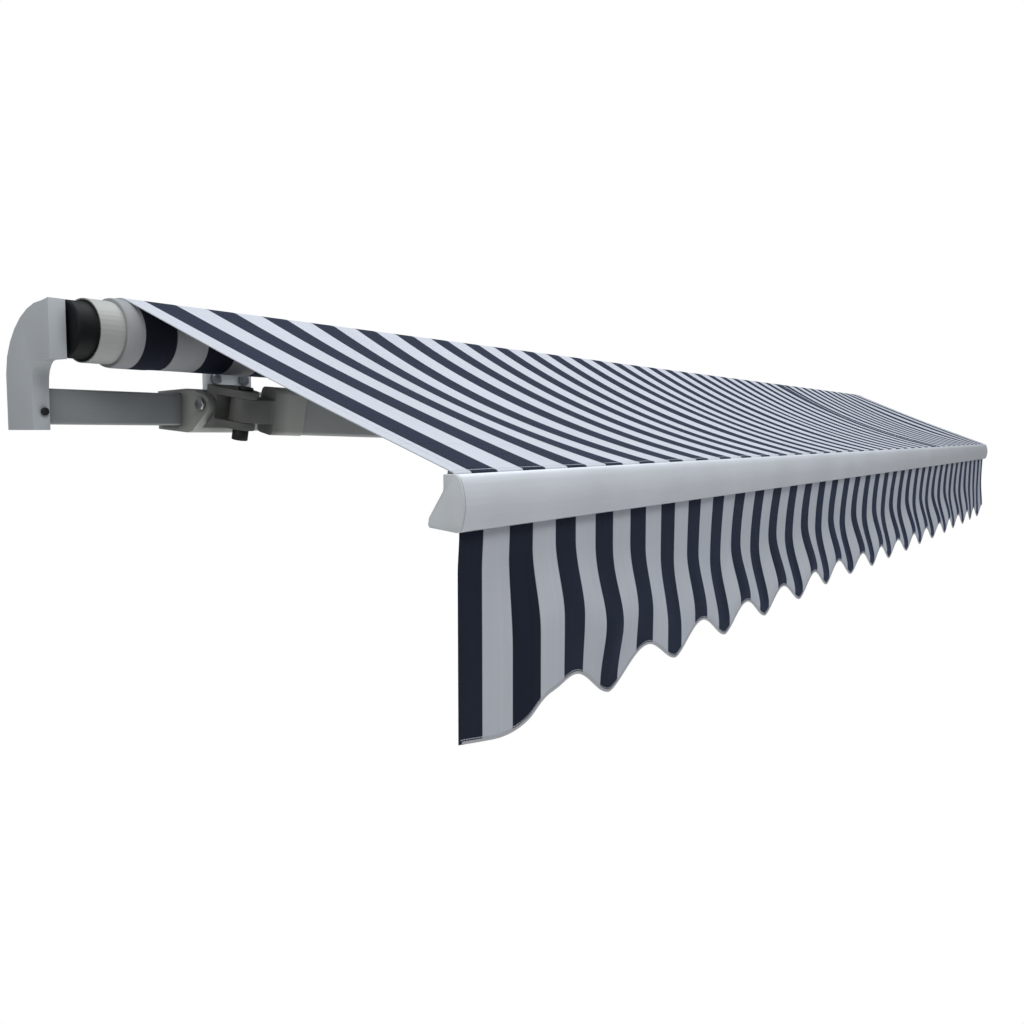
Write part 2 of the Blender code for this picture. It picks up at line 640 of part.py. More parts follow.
def upper_arm(side, word, upper):
    half = UPPER_DEPTH / 2
    tongue = hull(arc((0, 0), EYE_R, 90, 270, 10) + [(ROOT_BODY_START + 0.010, half - 0.0015),
                                                      (ROOT_BODY_START + 0.010, -half + 0.0015)])
    root = prism("arm_root_" + word, mirrored(tongue, side), 2 * EYE_HALF_HEIGHT, GREY_CAST, upper)
    shape(root, collar("root_collar_" + word, UPPER_HEIGHT, UPPER_DEPTH, ROOT_BODY_START, ROOT_BODY_END, upper,
                       side), "UNION")
    shape(root, spigot("root_spigot_" + word, UPPER_HEIGHT, UPPER_DEPTH, UPPER_WALL, ROOT_BODY_END - 0.010,
                       ROOT_BODY_END + SPIGOT, upper, side), "UNION")
    shape(root, cylinder("root_hole_" + word, PIN_R + CLEAR, 0.100, None, upper))

    tube("upper_arm_" + word, UPPER_HEIGHT, UPPER_DEPTH, UPPER_WALL, ROOT_BODY_END + CLEAR,
         ELBOW_ALONG - ELBOW_BODY - CLEAR, ARM_COAT, upper, side)

    pivot = (ELBOW_ALONG, -ELBOW_OFFSET)
    near = ELBOW_ALONG - ELBOW_BODY + 0.015
    far = ELBOW_ALONG - ELBOW_WEB + 0.007
    cheek = hull(arc(pivot, ELBOW_FORK_R, 0, 345, 23) + [(near, half), (near, -half), (far, half), (far, -half)])
    fork = prism("elbow_fork_" + word, mirrored(cheek, side), 2 * ELBOW_FORK_HALF, GREY_CAST, upper)
    shape(fork, collar("elbow_collar_" + word, UPPER_HEIGHT, UPPER_DEPTH, ELBOW_ALONG - ELBOW_BODY,
                       ELBOW_ALONG - ELBOW_WEB, upper, side), "UNION")
    shape(fork, spigot("elbow_spigot_" + word, UPPER_HEIGHT, UPPER_DEPTH, UPPER_WALL,
                       ELBOW_ALONG - ELBOW_BODY - SPIGOT, ELBOW_ALONG - ELBOW_BODY + 0.010, upper, side), "UNION")
    slot = 2 * (EYE_HALF_HEIGHT + CLEAR)
    reach = ELBOW_WEB + 0.040
    shape(fork, box("elbow_slot_" + word, (reach, 0.120, slot), None, upper,
                    (side * (ELBOW_ALONG - ELBOW_WEB + reach / 2), 0, 0)))
    at = (side * pivot[0], pivot[1], 0)
    shape(fork, cylinder("elbow_hole_" + word, PIN_R + CLEAR, 0.100, None, upper, at))
    under = ELBOW_FORK_HALF + CLEAR
    turned("elbow_pin_" + word,
           [(0, under + PIN_HEAD), (PIN_HEAD_R, under + PIN_HEAD), (PIN_HEAD_R, under), (PIN_R, under),
            (PIN_R, -under - 0.002), (0, -under - 0.002)], DARK_STEEL, upper, at, (0, 0, 0), False, 24)


def forearm(side, word, fore):
    half = FORE_DEPTH / 2 + COLLAR_PROUD
    pivot = (ELBOW_ALONG, ELBOW_OFFSET)
    start = ELBOW_ALONG - FORE_TONGUE
    tongue = hull(arc(pivot, EYE_R, 0, 345, 23) + [(start + 0.004, half), (start + 0.004, -half),
                                                    (start + FORE_COLLAR, half), (start + FORE_COLLAR, -half)])
    eye = prism("elbow_eye_" + word, mirrored(tongue, side), 2 * EYE_HALF_HEIGHT, GREY_CAST, fore)
    shape(eye, collar("fore_collar_" + word, FORE_HEIGHT, FORE_DEPTH, start, start + FORE_COLLAR, fore, side),
          "UNION")
    shape(eye, spigot("fore_spigot_" + word, FORE_HEIGHT, FORE_DEPTH, FORE_WALL, start - SPIGOT,
                      start + FORE_COLLAR / 2, fore, side), "UNION")
    shape(eye, cylinder("eye_hole_" + word, PIN_R + CLEAR, 0.100, None, fore, (side * pivot[0], pivot[1], 0)))

    tube("forearm_" + word, FORE_HEIGHT, FORE_DEPTH, FORE_WALL, WRIST_BODY + CLEAR, start - CLEAR, ARM_COAT,
         fore, side)

    thin = WRIST_EYE_R - 0.0020
    nose = hull(arc((0, 0), WRIST_EYE_R, 90, 270, 10) + [(WRIST_BODY - 0.004, thin), (WRIST_BODY - 0.004, -thin)])
    wrist = prism("wrist_eye_" + word, mirrored(nose, side), 2 * WRIST_EYE_HALF, GREY_CAST, fore)
    shape(wrist, collar("wrist_collar_" + word, FORE_HEIGHT, FORE_DEPTH, WRIST_BODY - FORE_COLLAR, WRIST_BODY,
                        fore, side), "UNION")
    shape(wrist, spigot("wrist_spigot_" + word, FORE_HEIGHT, FORE_DEPTH, FORE_WALL, WRIST_BODY - 0.005,
                        WRIST_BODY + SPIGOT, fore, side), "UNION")
    hole = PIN_R + (CLEAR if side == 1 else OPEN_WRIST_CLEAR)
    shape(wrist, cylinder("wrist_hole_" + word, hole, 0.100, None, fore))


def front_section():
    """The front bar's outline, its channels and its hollow, as Y and Z."""
    front = FRONT_Y - FRONT_FACE
    bulge = FRONT_Y - FRONT_BULGE
    back = FRONT_Y + FRONT_BACK_TOP
    low = FRONT_Y + FRONT_BACK_LOW
    top = FRONT_TOP
    bottom = FRONT_BOTTOM
    tall = top - bottom
    shell = [(FRONT_Y - 0.0055, top), (front, top - 0.0037)]
    for i in range(1, 8):
        t = i / 8
        shell.append((front - (front - bulge) * math.sin(math.pi * t), top - 0.0037 - (tall - 0.0052) * t))
    shell += [(front, bottom + 0.0015), (FRONT_Y - 0.0060, bottom)]
    rear = [(low - 0.0015, bottom + 0.0035), (low, bottom + 0.0065), (low - 0.0012, bottom + 0.0130),
            (back, top - 0.0150), (back, top)]
    upper = channel((FRONT_Y, top - CHANNEL_DEPTH), CHANNEL_R, SLIT_TOP, top, 1)
    slope = (bottom + 0.0035 - bottom) / (low - 0.0015 - (FRONT_Y - 0.0060))
    edge_front = bottom + slope * (0.0060 - SLIT_BOTTOM / 2)
    edge_back = bottom + slope * (0.0060 + SLIT_BOTTOM / 2)
    lower = channel((FRONT_Y, bottom + CHANNEL_DEPTH), CHANNEL_R, SLIT_BOTTOM, (edge_front, edge_back), -1)
    outline = shell + lower + rear + upper
    closed = shell + rear
    room_top = top - CHANNEL_DEPTH - CHANNEL_R - FRONT_WALL * 1.5
    room_bottom = bottom + CHANNEL_DEPTH + CHANNEL_R + FRONT_WALL * 1.5
    lean = (low - 0.0012 - back) / (tall - 0.0150 - 0.0130)
    wall = FRONT_WALL * math.hypot(1, lean)
    inside_top = back + lean * (top - 0.0150 - room_top) - wall
    inside_low = back + lean * (top - 0.0150 - room_bottom) - wall
    room = [(front - 0.0005, room_top), (front - 0.0005, room_bottom), (inside_low, room_bottom),
            (inside_top, room_top)]
    return outline, closed, room


def channel(centre, radius, slit, edge, up):
    """A round channel open to the face through a slit, drawn from one lip to the other."""
    half = slit / 2
    lean = math.degrees(math.asin(half / radius))
    front_edge, back_edge = edge if isinstance(edge, tuple) else (edge, edge)
    if up == 1:
        ring = arc(centre, radius, 90 - lean, -270 + lean, 16)
        return [(centre[0] + half, back_edge)] + ring + [(centre[0] - half, front_edge)]
    ring = arc(centre, radius, 270 - lean, -90 + lean, 16)
    return [(centre[0] - half, front_edge)] + ring + [(centre[0] + half, back_edge)]


def front_bar():
    outline, closed, room = front_section()
    half = HALF - FRONT_IN
    prism("front_bar", outline, 2 * half, SILVER, None, (0, 0, 0), ALONG_X, [room])
    plug = inset(room, CLEAR)
    for side, word in ((1, "left"), (-1, "right")):
        cap = prism("front_cap_" + word, closed, FRONT_CAP, GREY_PLASTIC, None,
                    (end_x(side, FRONT_IN - CLEAR - FRONT_CAP / 2), 0, 0), ALONG_X)
        length = FRONT_CAP_SPIGOT + FRONT_CAP / 2
        shape(cap, prism("front_plug_" + word, plug, length, None, None,
                         (end_x(side, FRONT_IN - FRONT_CAP / 2 + length / 2), 0, 0), ALONG_X), "UNION")
    for name, rod, z in (("canopy_keder", FABRIC_WIDTH, FRONT_TOP - CHANNEL_DEPTH),
                         ("valance_keder", VALANCE_WIDTH, FRONT_BOTTOM + CHANNEL_DEPTH)):
        cylinder(name, KEDER_R, rod, BLACK_PLASTIC, None, (0, FRONT_Y, z), (0, math.pi / 2, 0), 16)


def front_bracket(side, word, wrist):
    x = end_x(side, SHOULDER_IN)
    back = FRONT_Y + FRONT_BACK_TOP + CLEAR
    low = FRONT_Y + FRONT_BACK_LOW + CLEAR
    face = FRONT_Y + SADDLE_BACK
    seat = [(back + 0.0002, FRONT_TOP + 0.0005), (back + 0.0002, FRONT_TOP - 0.0150),
            (low - 0.0008, FRONT_BOTTOM + 0.0132), (low, FRONT_BOTTOM + 0.0065),
            (low + 0.008, FRONT_BOTTOM + 0.0040), (face, FRONT_BOTTOM + 0.0170),
            (face, FRONT_TOP + 0.0090), (face - 0.008, FRONT_TOP + 0.0125)]
    saddle = prism("front_bracket_" + word, seat, 2 * SADDLE_HALF, GREY_CAST, None, (x, 0, 0), ALONG_X)
    root = 0.019
    ears = hull(arc((0, 0), WRIST_FORK_R, 0, 345, 23) + [(-root, -WRIST_FORK_ROOT), (root, -WRIST_FORK_ROOT),
                                                          (-root, -WRIST_SLOT), (root, -WRIST_SLOT)])
    shape(saddle, prism("wrist_ears_" + word, ears, 2 * WRIST_FORK_HALF, None, wrist), "UNION")
    gap = 2 * (WRIST_EYE_HALF + CLEAR)
    shape(saddle, box("wrist_gap_" + word, (0.100, WRIST_SLOT + 0.030, gap), None, wrist,
                      (0, -(WRIST_SLOT - 0.030) / 2, 0)))
    shape(saddle, cylinder("wrist_pin_hole_" + word, PIN_R + CLEAR, 0.100, None, wrist))
    under = WRIST_FORK_HALF + CLEAR
    turned("wrist_pin_" + word,
           [(0, under + PIN_HEAD), (PIN_HEAD_R, under + PIN_HEAD), (PIN_HEAD_R, under), (PIN_R, under),
            (PIN_R, -under - 0.002), (0, -under - 0.002)], DARK_STEEL, wrist, (0, 0, 0), (0, 0, 0), False, 24)
    bolt_x = x - side * SADDLE_BOLT_X
    shape(saddle, cylinder("saddle_hole_" + word, SADDLE_BOLT_R + CLEAR, 0.080, None, None,
                           (bolt_x, face - 0.010, SADDLE_BOLT_Z), (math.pi / 2, 0, 0), 20))
    lean = (FRONT_BACK_LOW - FRONT_BACK_TOP) / (FRONT_TOP - FRONT_BOTTOM - 0.0280)
    bar_back = FRONT_Y + FRONT_BACK_TOP + lean * (FRONT_TOP - 0.0150 - SADDLE_BOLT_Z)
    bolt("front_bracket_bolt_" + word, SADDLE_BOLT_HEAD_R, SADDLE_BOLT_HEAD, SADDLE_BOLT_R,
         face - bar_back - 0.0030, STEEL, (bolt_x, face + CLEAR, SADDLE_BOLT_Z), (-math.pi / 2, 0, 0))


def sheet_line():
    """Where the sheet leaves the roll and where it meets the front bar, on its underside."""
    end = Vector((FRONT_Y + SHEET_THICK / 2, FRONT_TOP + 0.0009))
    centre = Vector((ROLL_Y, ROLL_Z))
    reach = end - centre
    radius = ROLL_R + CLEAR
    swing = math.acos(radius / reach.length)
    heading = math.atan2(reach.y, reach.x)
    start = centre + radius * Vector((math.cos(heading - swing), math.sin(heading - swing)))
    return start, end


def canopy():
    start, end = sheet_line()
    along = (end - start).normalized()
    up = Vector((along.y, -along.x))
    if up.y < 0:
        up = -up
    thick = up * SHEET_THICK
    split = end - along * HEM_LENGTH
    ahead = split - along * CLEAR
    sheet = [tuple(start), tuple(ahead), tuple(ahead + thick), tuple(start + thick)]
    prism("canopy", sheet, FABRIC_WIDTH, CLOTH, None, (0, 0, 0), ALONG_X)
    deep = FRONT_TOP - CHANNEL_DEPTH + KEDER_R + CLEAR
    outer = FRONT_Y - SHEET_THICK / 2
    hem = [tuple(split), tuple(end), (end.x, deep), (outer, deep), (outer, end.y + SHEET_THICK * 0.8),
           tuple(split + thick)]
    prism("canopy_hem", hem, FABRIC_WIDTH, CLOTH, None, (0, 0, 0), ALONG_X)


def scallop(x):
    """Height of the valance's lower edge at a distance x from its left end."""
    low = FIRST_LOW + STRIPE_PERIOD
    if x < low:
        return VALANCE_BOTTOM
    wave = 0.5 - 0.5 * math.cos(math.pi * (x - low) / STRIPE_PERIOD)
    return VALANCE_BOTTOM + SCALLOP_DEPTH * wave ** 0.8


def fold(x, down):
    """How far the hanging cloth stands off its plane."""
    wave = math.sin(2 * math.pi * x / 0.410 + 2.2 * down) + 0.45 * math.sin(2 * math.pi * x / 0.233 + 1.1)
    return FOLD_DEPTH * wave * down ** 1.3 / 1.45


def valance():
    mesh = bpy.data.meshes.new("valance")
    bm = bmesh.new()
    bmesh.ops.create_grid(bm, x_segments=VALANCE_COLUMNS, y_segments=VALANCE_ROWS, size=0.5)
    width = VALANCE_WIDTH
    top = FRONT_BOTTOM + CHANNEL_DEPTH - KEDER_R - CLEAR
    lip = FRONT_BOTTOM - 0.0006
    for vert in bm.verts:
        x = (vert.co.x + 0.5) * width
        row = round((0.5 - vert.co.y) * VALANCE_ROWS)
        bottom = scallop(x)
        down = max(0.0, (row - 1) / (VALANCE_ROWS - 1))
        z = top if row == 0 else lip + (bottom - lip) * down
        vert.co = (x - width / 2, FRONT_Y + fold(x, down), z)
    bm.to_mesh(mesh)
    bm.free()
    mesh.shade_smooth()
    obj = place(bpy.data.objects.new("valance", mesh), CLOTH)
    thick = obj.modifiers.new("cloth thickness", "SOLIDIFY")
    thick.thickness = VALANCE_THICK
    thick.offset = 0.0


def main():
    clear_scene()
    bar_and_brackets()
    roller()
    crank_gear()
    wall_fixings()
    for side, word in ((1, "left"), (-1, "right")):
        shoulder, upper, wrist, fore = arm_frames(side, word)
        support(side, word, shoulder)
        upper_arm(side, word, upper)
        forearm(side, word, fore)
        front_bracket(side, word, wrist)
    front_bar()
    canopy()
    valance()
    bpy.context.view_layer.update()


main()
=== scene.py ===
# %% [markdown]
# # A striped fabric awning, dressed for its portrait
#
# The awning hangs on a wall by a square bar. A roller between two end brackets holds the
# cloth, two folding arms push out a front bar, and a scalloped valance hangs from that bar.
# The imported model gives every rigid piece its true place. This notebook dresses it: woven
# cloth, powder-coated metal and moulded plastic, with soft edges and small fixings.
# Distances are metres, X runs along the wall, Y points into it and Z is up.

import json
import math

import bmesh
import bpy
from mathutils import Matrix, Vector

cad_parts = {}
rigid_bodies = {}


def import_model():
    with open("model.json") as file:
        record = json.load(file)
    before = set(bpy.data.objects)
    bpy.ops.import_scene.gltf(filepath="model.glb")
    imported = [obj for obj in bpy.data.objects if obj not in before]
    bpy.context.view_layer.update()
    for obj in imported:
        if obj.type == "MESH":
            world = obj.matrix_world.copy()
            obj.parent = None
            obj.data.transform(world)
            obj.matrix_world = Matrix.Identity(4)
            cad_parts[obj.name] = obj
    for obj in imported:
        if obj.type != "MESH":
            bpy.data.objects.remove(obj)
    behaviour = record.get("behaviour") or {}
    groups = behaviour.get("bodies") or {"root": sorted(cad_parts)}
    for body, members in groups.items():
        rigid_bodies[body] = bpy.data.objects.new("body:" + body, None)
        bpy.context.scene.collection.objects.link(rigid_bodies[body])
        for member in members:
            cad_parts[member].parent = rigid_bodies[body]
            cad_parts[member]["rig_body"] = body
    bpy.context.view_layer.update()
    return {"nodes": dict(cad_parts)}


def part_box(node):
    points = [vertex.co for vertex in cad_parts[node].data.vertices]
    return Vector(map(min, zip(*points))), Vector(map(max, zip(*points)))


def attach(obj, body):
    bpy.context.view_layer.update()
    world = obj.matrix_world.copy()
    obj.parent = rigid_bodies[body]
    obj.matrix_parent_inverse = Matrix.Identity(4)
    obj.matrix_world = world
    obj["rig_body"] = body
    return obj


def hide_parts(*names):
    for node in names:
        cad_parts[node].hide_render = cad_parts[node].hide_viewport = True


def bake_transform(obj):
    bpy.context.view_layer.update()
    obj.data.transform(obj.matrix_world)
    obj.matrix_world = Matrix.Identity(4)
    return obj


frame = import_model()
print("nodes in the model:", len(frame["nodes"]))

# %% [markdown]
# ## The eye of the viewer
#
# The portrait is taken from the left, close to the end of the front bar, a little below the
# square bar and almost level. A camera needs a place and a turn. Three rows give the turn:
# the direction it looks, the direction to its right, and the direction above it. Writing
# them from two angles keeps the horizon level, which a track-to constraint may not.

# %% Camera
CAMERA_PLACE = (-2.3802, -1.0841, -0.0312)
CAMERA_YAW = math.radians(33.20)
CAMERA_DIP = math.radians(4.52)
CAMERA_LENS = 34.59


def camera_turn(yaw, dip):
    look = Vector((math.cos(yaw) * math.cos(dip), math.sin(yaw) * math.cos(dip), -math.sin(dip)))
    right = Vector((math.sin(yaw), -math.cos(yaw), 0.0))
    above = right.cross(look)
    return Matrix((right, above, -look)).transposed().to_4x4()


lens = bpy.data.cameras.new("portrait_camera")
lens.lens = CAMERA_LENS
lens.sensor_width = 36.0
lens.clip_start = 0.02
lens.dof.use_dof = False
camera = bpy.data.objects.new("portrait_camera", lens)
bpy.context.scene.collection.objects.link(camera)
camera.matrix_world = Matrix.Translation(CAMERA_PLACE) @ camera_turn(CAMERA_YAW, CAMERA_DIP)
bpy.context.scene.camera = camera
print("camera stands", round(CAMERA_PLACE[0], 2), "m along and", round(-CAMERA_PLACE[1], 2), "m out")

# %% [markdown]
# ## Small helpers for shaders
#
# A material here is a short chain of nodes: something to measure the place, something to
# draw a pattern, and the surface shader. Four helpers keep each chain readable: one starts
# a material, one adds a node and fills its sockets, one does arithmetic, and one mixes two
# colours.

# %% Helpers for nodes


def new_material(name, roughness, metallic=0.0):
    material = bpy.data.materials.new(name)
    material.use_nodes = True
    tree = material.node_tree
    shader = tree.nodes["Principled BSDF"]
    shader.inputs["Roughness"].default_value = roughness
    shader.inputs["Metallic"].default_value = metallic
    return material, tree, shader


def add(tree, kind, label="", **sockets):
    """Add a node; a socket takes a number, a colour or another node's output."""
    node = tree.nodes.new(kind)
    node.label = label
    for key, value in sockets.items():
        name = key.replace("_", " ")
        if isinstance(value, bpy.types.NodeSocket):
            tree.links.new(value, node.inputs[name])
        else:
            node.inputs[name].default_value = value
    return node


def maths(tree, operation, first, second=0.0, clamp=False):
    node = tree.nodes.new("ShaderNodeMath")
    node.operation = operation
    node.use_clamp = clamp
    for slot, value in enumerate((first, second)):
        if isinstance(value, bpy.types.NodeSocket):
            tree.links.new(value, node.inputs[slot])
        else:
            node.inputs[slot].default_value = value
    return node.outputs[0]


def mix(tree, share, first, second):
    node = tree.nodes.new("ShaderNodeMix")
    node.data_type = "RGBA"
    for socket, value in ((0, share), (6, first), (7, second)):
        if isinstance(value, bpy.types.NodeSocket):
            tree.links.new(value, node.inputs[socket])
        else:
            node.inputs[socket].default_value = value if socket == 0 else (*value, 1.0)
    return node.outputs[2]


print("node helpers ready")

# %% [markdown]
# ## The cloth
#
# Awning cloth is woven from yarn that was dyed first, so a stripe has the same colour on both
# sides, crisp to one yarn. The cloth is cut in long pieces, and every piece here carries a
# UV map in metres: U across the awning, V along the yarn from the roller to the hem. With
# it the stripes follow the cloth over the roll and through the folds of the valance.
#
# The chain: U gives the stripes with a sawtooth, two sine waves give warp and weft, and a
# large soft noise gives the slightly cloudy look of cloth that has hung outdoors. Where two
# panels overlap at `DARK_JOIN`, two navy stripes nearly touch and read as one wide stripe.
# The turns on the roller are greyer and darker: this is painted shade, for the sheet above shades the roll.

# %% Striped cloth material
STRIPE_PERIOD = 0.0905
STRIPE_START = 0.0021
NAVY_SHARE = 0.50
NAVY = (0.0070, 0.0095, 0.0160)
NAVY_LIGHT = (0.0140, 0.0180, 0.0300)
OFF_WHITE = (0.63, 0.645, 0.69)
OFF_WHITE_SHADE = (0.55, 0.565, 0.60)
# painted shade: the roll's whites and navies are darkened for the shade the sheet casts on the roll
PAINTED_SHADE_ROLL_WHITE = (0.37, 0.375, 0.375)
PAINTED_SHADE_ROLL_WHITE_LOW = (0.31, 0.315, 0.315)
PAINTED_SHADE_ROLL_SHARE = 0.6
CRISP = 90.0
YARN = 0.0009
DARK_JOIN = 2.3037
JOIN_HALF = 0.039


def shaded(colour, share):
    return tuple(part * share for part in colour)


def striped_cloth(name, navy, navy_light, white, white_shade, join=None):
    material, tree, shader = new_material(name, 0.82)
    uv = add(tree, "ShaderNodeUVMap", "metres on the cloth")
    uv.uv_map = "cloth"
    split = add(tree, "ShaderNodeSeparateXYZ", Vector=uv.outputs[0])
    across, along = split.outputs[0], split.outputs[1]

    pairs = maths(tree, "DIVIDE", maths(tree, "SUBTRACT", across, STRIPE_START), STRIPE_PERIOD)
    phase = maths(tree, "FRACT", pairs)
    begins = maths(tree, "MULTIPLY", phase, CRISP, clamp=True)
    ends = maths(tree, "MULTIPLY", maths(tree, "SUBTRACT", NAVY_SHARE, phase), CRISP, clamp=True)
    in_navy = maths(tree, "MULTIPLY", begins, ends)
    if join:
        away = maths(tree, "ABSOLUTE", maths(tree, "SUBTRACT", across, join))
        in_navy = maths(tree, "MAXIMUM", in_navy, maths(tree, "LESS_THAN", away, JOIN_HALF))

    warp = maths(tree, "SINE", maths(tree, "MULTIPLY", across, 2 * math.pi / YARN))
    weft = maths(tree, "SINE", maths(tree, "MULTIPLY", along, 2 * math.pi / YARN))
    weave = maths(tree, "MULTIPLY", warp, weft)

    cloud = add(tree, "ShaderNodeTexNoise", "weathered patches", Vector=uv.outputs[0], Scale=5.0, Detail=3.0)
    stretched = add(tree, "ShaderNodeMapping", "long streaks", Vector=uv.outputs[0], Scale=(160.0, 2.5, 1.0))
    streak = add(tree, "ShaderNodeTexNoise", "yarn to yarn", Vector=stretched.outputs[0], Scale=1.0,
                 Detail=2.0)
    tint = maths(tree, "MULTIPLY", cloud.outputs[0], streak.outputs[0])
    tint = maths(tree, "MULTIPLY", tint, 1.7, clamp=True)

    dark = mix(tree, tint, navy, navy_light)
    light = mix(tree, tint, white_shade, white)
    colour = mix(tree, in_navy, light, dark)
    tree.links.new(colour, shader.inputs["Base Color"])

    woven = maths(tree, "MULTIPLY", weave, 0.5)
    height = maths(tree, "ADD", woven, maths(tree, "MULTIPLY", streak.outputs[0], 0.8))
    relief = add(tree, "ShaderNodeBump", "yarn relief", Strength=0.22, Distance=0.0006, Height=height)
    tree.links.new(relief.outputs[0], shader.inputs["Normal"])
    rough = maths(tree, "ADD", 0.76, maths(tree, "MULTIPLY", cloud.outputs[0], 0.12))
    tree.links.new(rough, shader.inputs["Roughness"])
    # painted reflection: the sheen is tinted blue to stand for the sky reflected by the cloth
    shader.inputs["Sheen Weight"].default_value = 0.16
    shader.inputs["Sheen Roughness"].default_value = 0.45
    shader.inputs["Sheen Tint"].default_value = (0.45, 0.55, 1.0, 1.0)
    shader.inputs["Specular IOR Level"].default_value = 0.12
    return material


SHEET_CLOTH = striped_cloth("striped_sheet_cloth", NAVY, NAVY_LIGHT, OFF_WHITE, OFF_WHITE_SHADE, DARK_JOIN)
VALANCE_CLOTH = striped_cloth("striped_valance_cloth", NAVY, NAVY_LIGHT, OFF_WHITE, OFF_WHITE_SHADE)
# the roll's cloth takes the colours darkened by painted shade
ROLL_CLOTH = striped_cloth("striped_roll_cloth", shaded(NAVY, PAINTED_SHADE_ROLL_SHARE),
                           shaded(NAVY_LIGHT, PAINTED_SHADE_ROLL_SHARE), PAINTED_SHADE_ROLL_WHITE, PAINTED_SHADE_ROLL_WHITE_LOW, DARK_JOIN)
print("stripes of", round(STRIPE_PERIOD * 1000), "mm a pair, yarn of", YARN * 1000, "mm")

# %% [markdown]
# ## Coated and bare metal
#
# The castings, the bar and the arms are powder coated: a baked skin with a faint orange-peel
# surface. Small noise drives a bump for the peel, and large noise moves the tone by a few
# percent, since dust gathers unevenly outdoors. The front bar is a drawn profile, so its
# grain runs lengthwise: the same noise, stretched along X. Zinc on the bolts is shinier
# and patchy. Moulded plastic has a fine grain in place of the peel.

# %% Metal and plastic materials
HINGE = (1.520, -0.115, 0.0)
GREASE_REACH = 0.060


def grease_mask(tree, place, reach):
    """1 close to the standing axis of either shoulder hinge, 0 farther away than the reach."""
    split = add(tree, "ShaderNodeSeparateXYZ", Vector=place)
    both_ends = maths(tree, "ABSOLUTE", split.outputs[0])
    flat = add(tree, "ShaderNodeCombineXYZ", "seen from above", X=both_ends, Y=split.outputs[1])
    away = tree.nodes.new("ShaderNodeVectorMath")
    away.operation = "DISTANCE"
    tree.links.new(flat.outputs[0], away.inputs[0])
    away.inputs[1].default_value = HINGE
    near = maths(tree, "SUBTRACT", 1.0, maths(tree, "DIVIDE", away.outputs["Value"], reach), clamp=True)
    return maths(tree, "MULTIPLY", near, 2.2, clamp=True)


def coated_metal(name, colour, roughness, metallic, peel=0.10, grain=(1.0, 1.0, 1.0), grease=0.0):
    material, tree, shader = new_material(name, roughness, metallic)
    place = add(tree, "ShaderNodeTexCoord", "place")
    turned = add(tree, "ShaderNodeMapping", "grain direction", Vector=place.outputs["Object"], Scale=grain)
    fine = add(tree, "ShaderNodeTexNoise", "orange peel", Vector=turned.outputs[0], Scale=850.0, Detail=2.0)
    dust = add(tree, "ShaderNodeTexNoise", "dust", Vector=place.outputs["Object"], Scale=9.0, Detail=4.0)
    dusty = maths(tree, "MULTIPLY", dust.outputs[0], 0.7)
    tone = maths(tree, "ADD", dusty, maths(tree, "MULTIPLY", fine.outputs[0], 0.3))
    low = shaded(colour, 0.84)
    high = tuple(min(1.0, part * 1.14) for part in colour)
    coat = mix(tree, tone, low, high)
    if grease:
        coat = mix(tree, grease_mask(tree, place.outputs["Object"], grease), coat, shaded(colour, 0.30))
    # painted shade: an ambient-occlusion node darkens the coat in corners and crevices, where shade falls
    corner = add(tree, "ShaderNodeAmbientOcclusion", "painted shade in corners", Distance=0.018)
    corner.samples = 6
    unshaded_share = maths(tree, "POWER", corner.outputs["AO"], 1.1)
    coat = mix(tree, unshaded_share, shaded(colour, 0.45), coat)
    tree.links.new(coat, shader.inputs["Base Color"])
    rough = maths(tree, "ADD", roughness - 0.06, maths(tree, "MULTIPLY", dust.outputs[0], 0.12))
    tree.links.new(rough, shader.inputs["Roughness"])
    relief = add(tree, "ShaderNodeBump", "peel relief", Strength=peel, Distance=0.0004,
                 Height=fine.outputs[0])
    tree.links.new(relief.outputs[0], shader.inputs["Normal"])
    return material


def moulded_plastic(name, colour, roughness, specular=0.4):
    material, tree, shader = new_material(name, roughness)
    shader.inputs["Specular IOR Level"].default_value = specular
    place = add(tree, "ShaderNodeTexCoord", "place")
    grain = add(tree, "ShaderNodeTexVoronoi", "moulded grain", Vector=place.outputs["Object"], Scale=900.0)
    soft = add(tree, "ShaderNodeTexNoise", "dust", Vector=place.outputs["Object"], Scale=25.0, Detail=4.0)
    pale = tuple(part * 1.4 + 0.002 for part in colour)
    tree.links.new(mix(tree, soft.outputs[0], colour, pale), shader.inputs["Base Color"])
    relief = add(tree, "ShaderNodeBump", "grain relief", Strength=0.15, Distance=0.0003,
                 Height=grain.outputs["Distance"])
    tree.links.new(relief.outputs[0], shader.inputs["Normal"])
    rough = maths(tree, "ADD", roughness - 0.05, maths(tree, "MULTIPLY", soft.outputs[0], 0.10))
    tree.links.new(rough, shader.inputs["Roughness"])
    return material


CAST_COAT = coated_metal("light_grey_casting", (0.53, 0.555, 0.575), 0.52, 0.10)
BAR_COAT = coated_metal("grey_bar_coat", (0.275, 0.287, 0.29), 0.50, 0.15, 0.08, (0.05, 1.0, 1.0))
ARM_COAT = coated_metal("arm_coat", (0.335, 0.345, 0.335), 0.48, 0.15, 0.08, (0.05, 1.0, 1.0))
JOINT_COAT = coated_metal("joint_casting", (0.40, 0.405, 0.375), 0.55, 0.15, 0.16, grease=GREASE_REACH)
WALL_COAT = coated_metal("wall_bracket_casting", (0.80, 0.82, 0.83), 0.55, 0.05)
TUBE_COAT = coated_metal("pale_roller_tube", (0.41, 0.42, 0.395), 0.55, 0.05, 0.06, (0.05, 1.0, 1.0))
SILVER_COAT = coated_metal("silver_front_profile", (0.74, 0.76, 0.80), 0.42, 0.15, 0.05, (0.02, 1.0, 1.0))
CAP_PLASTIC = moulded_plastic("grey_end_cap", (0.52, 0.54, 0.555), 0.50)
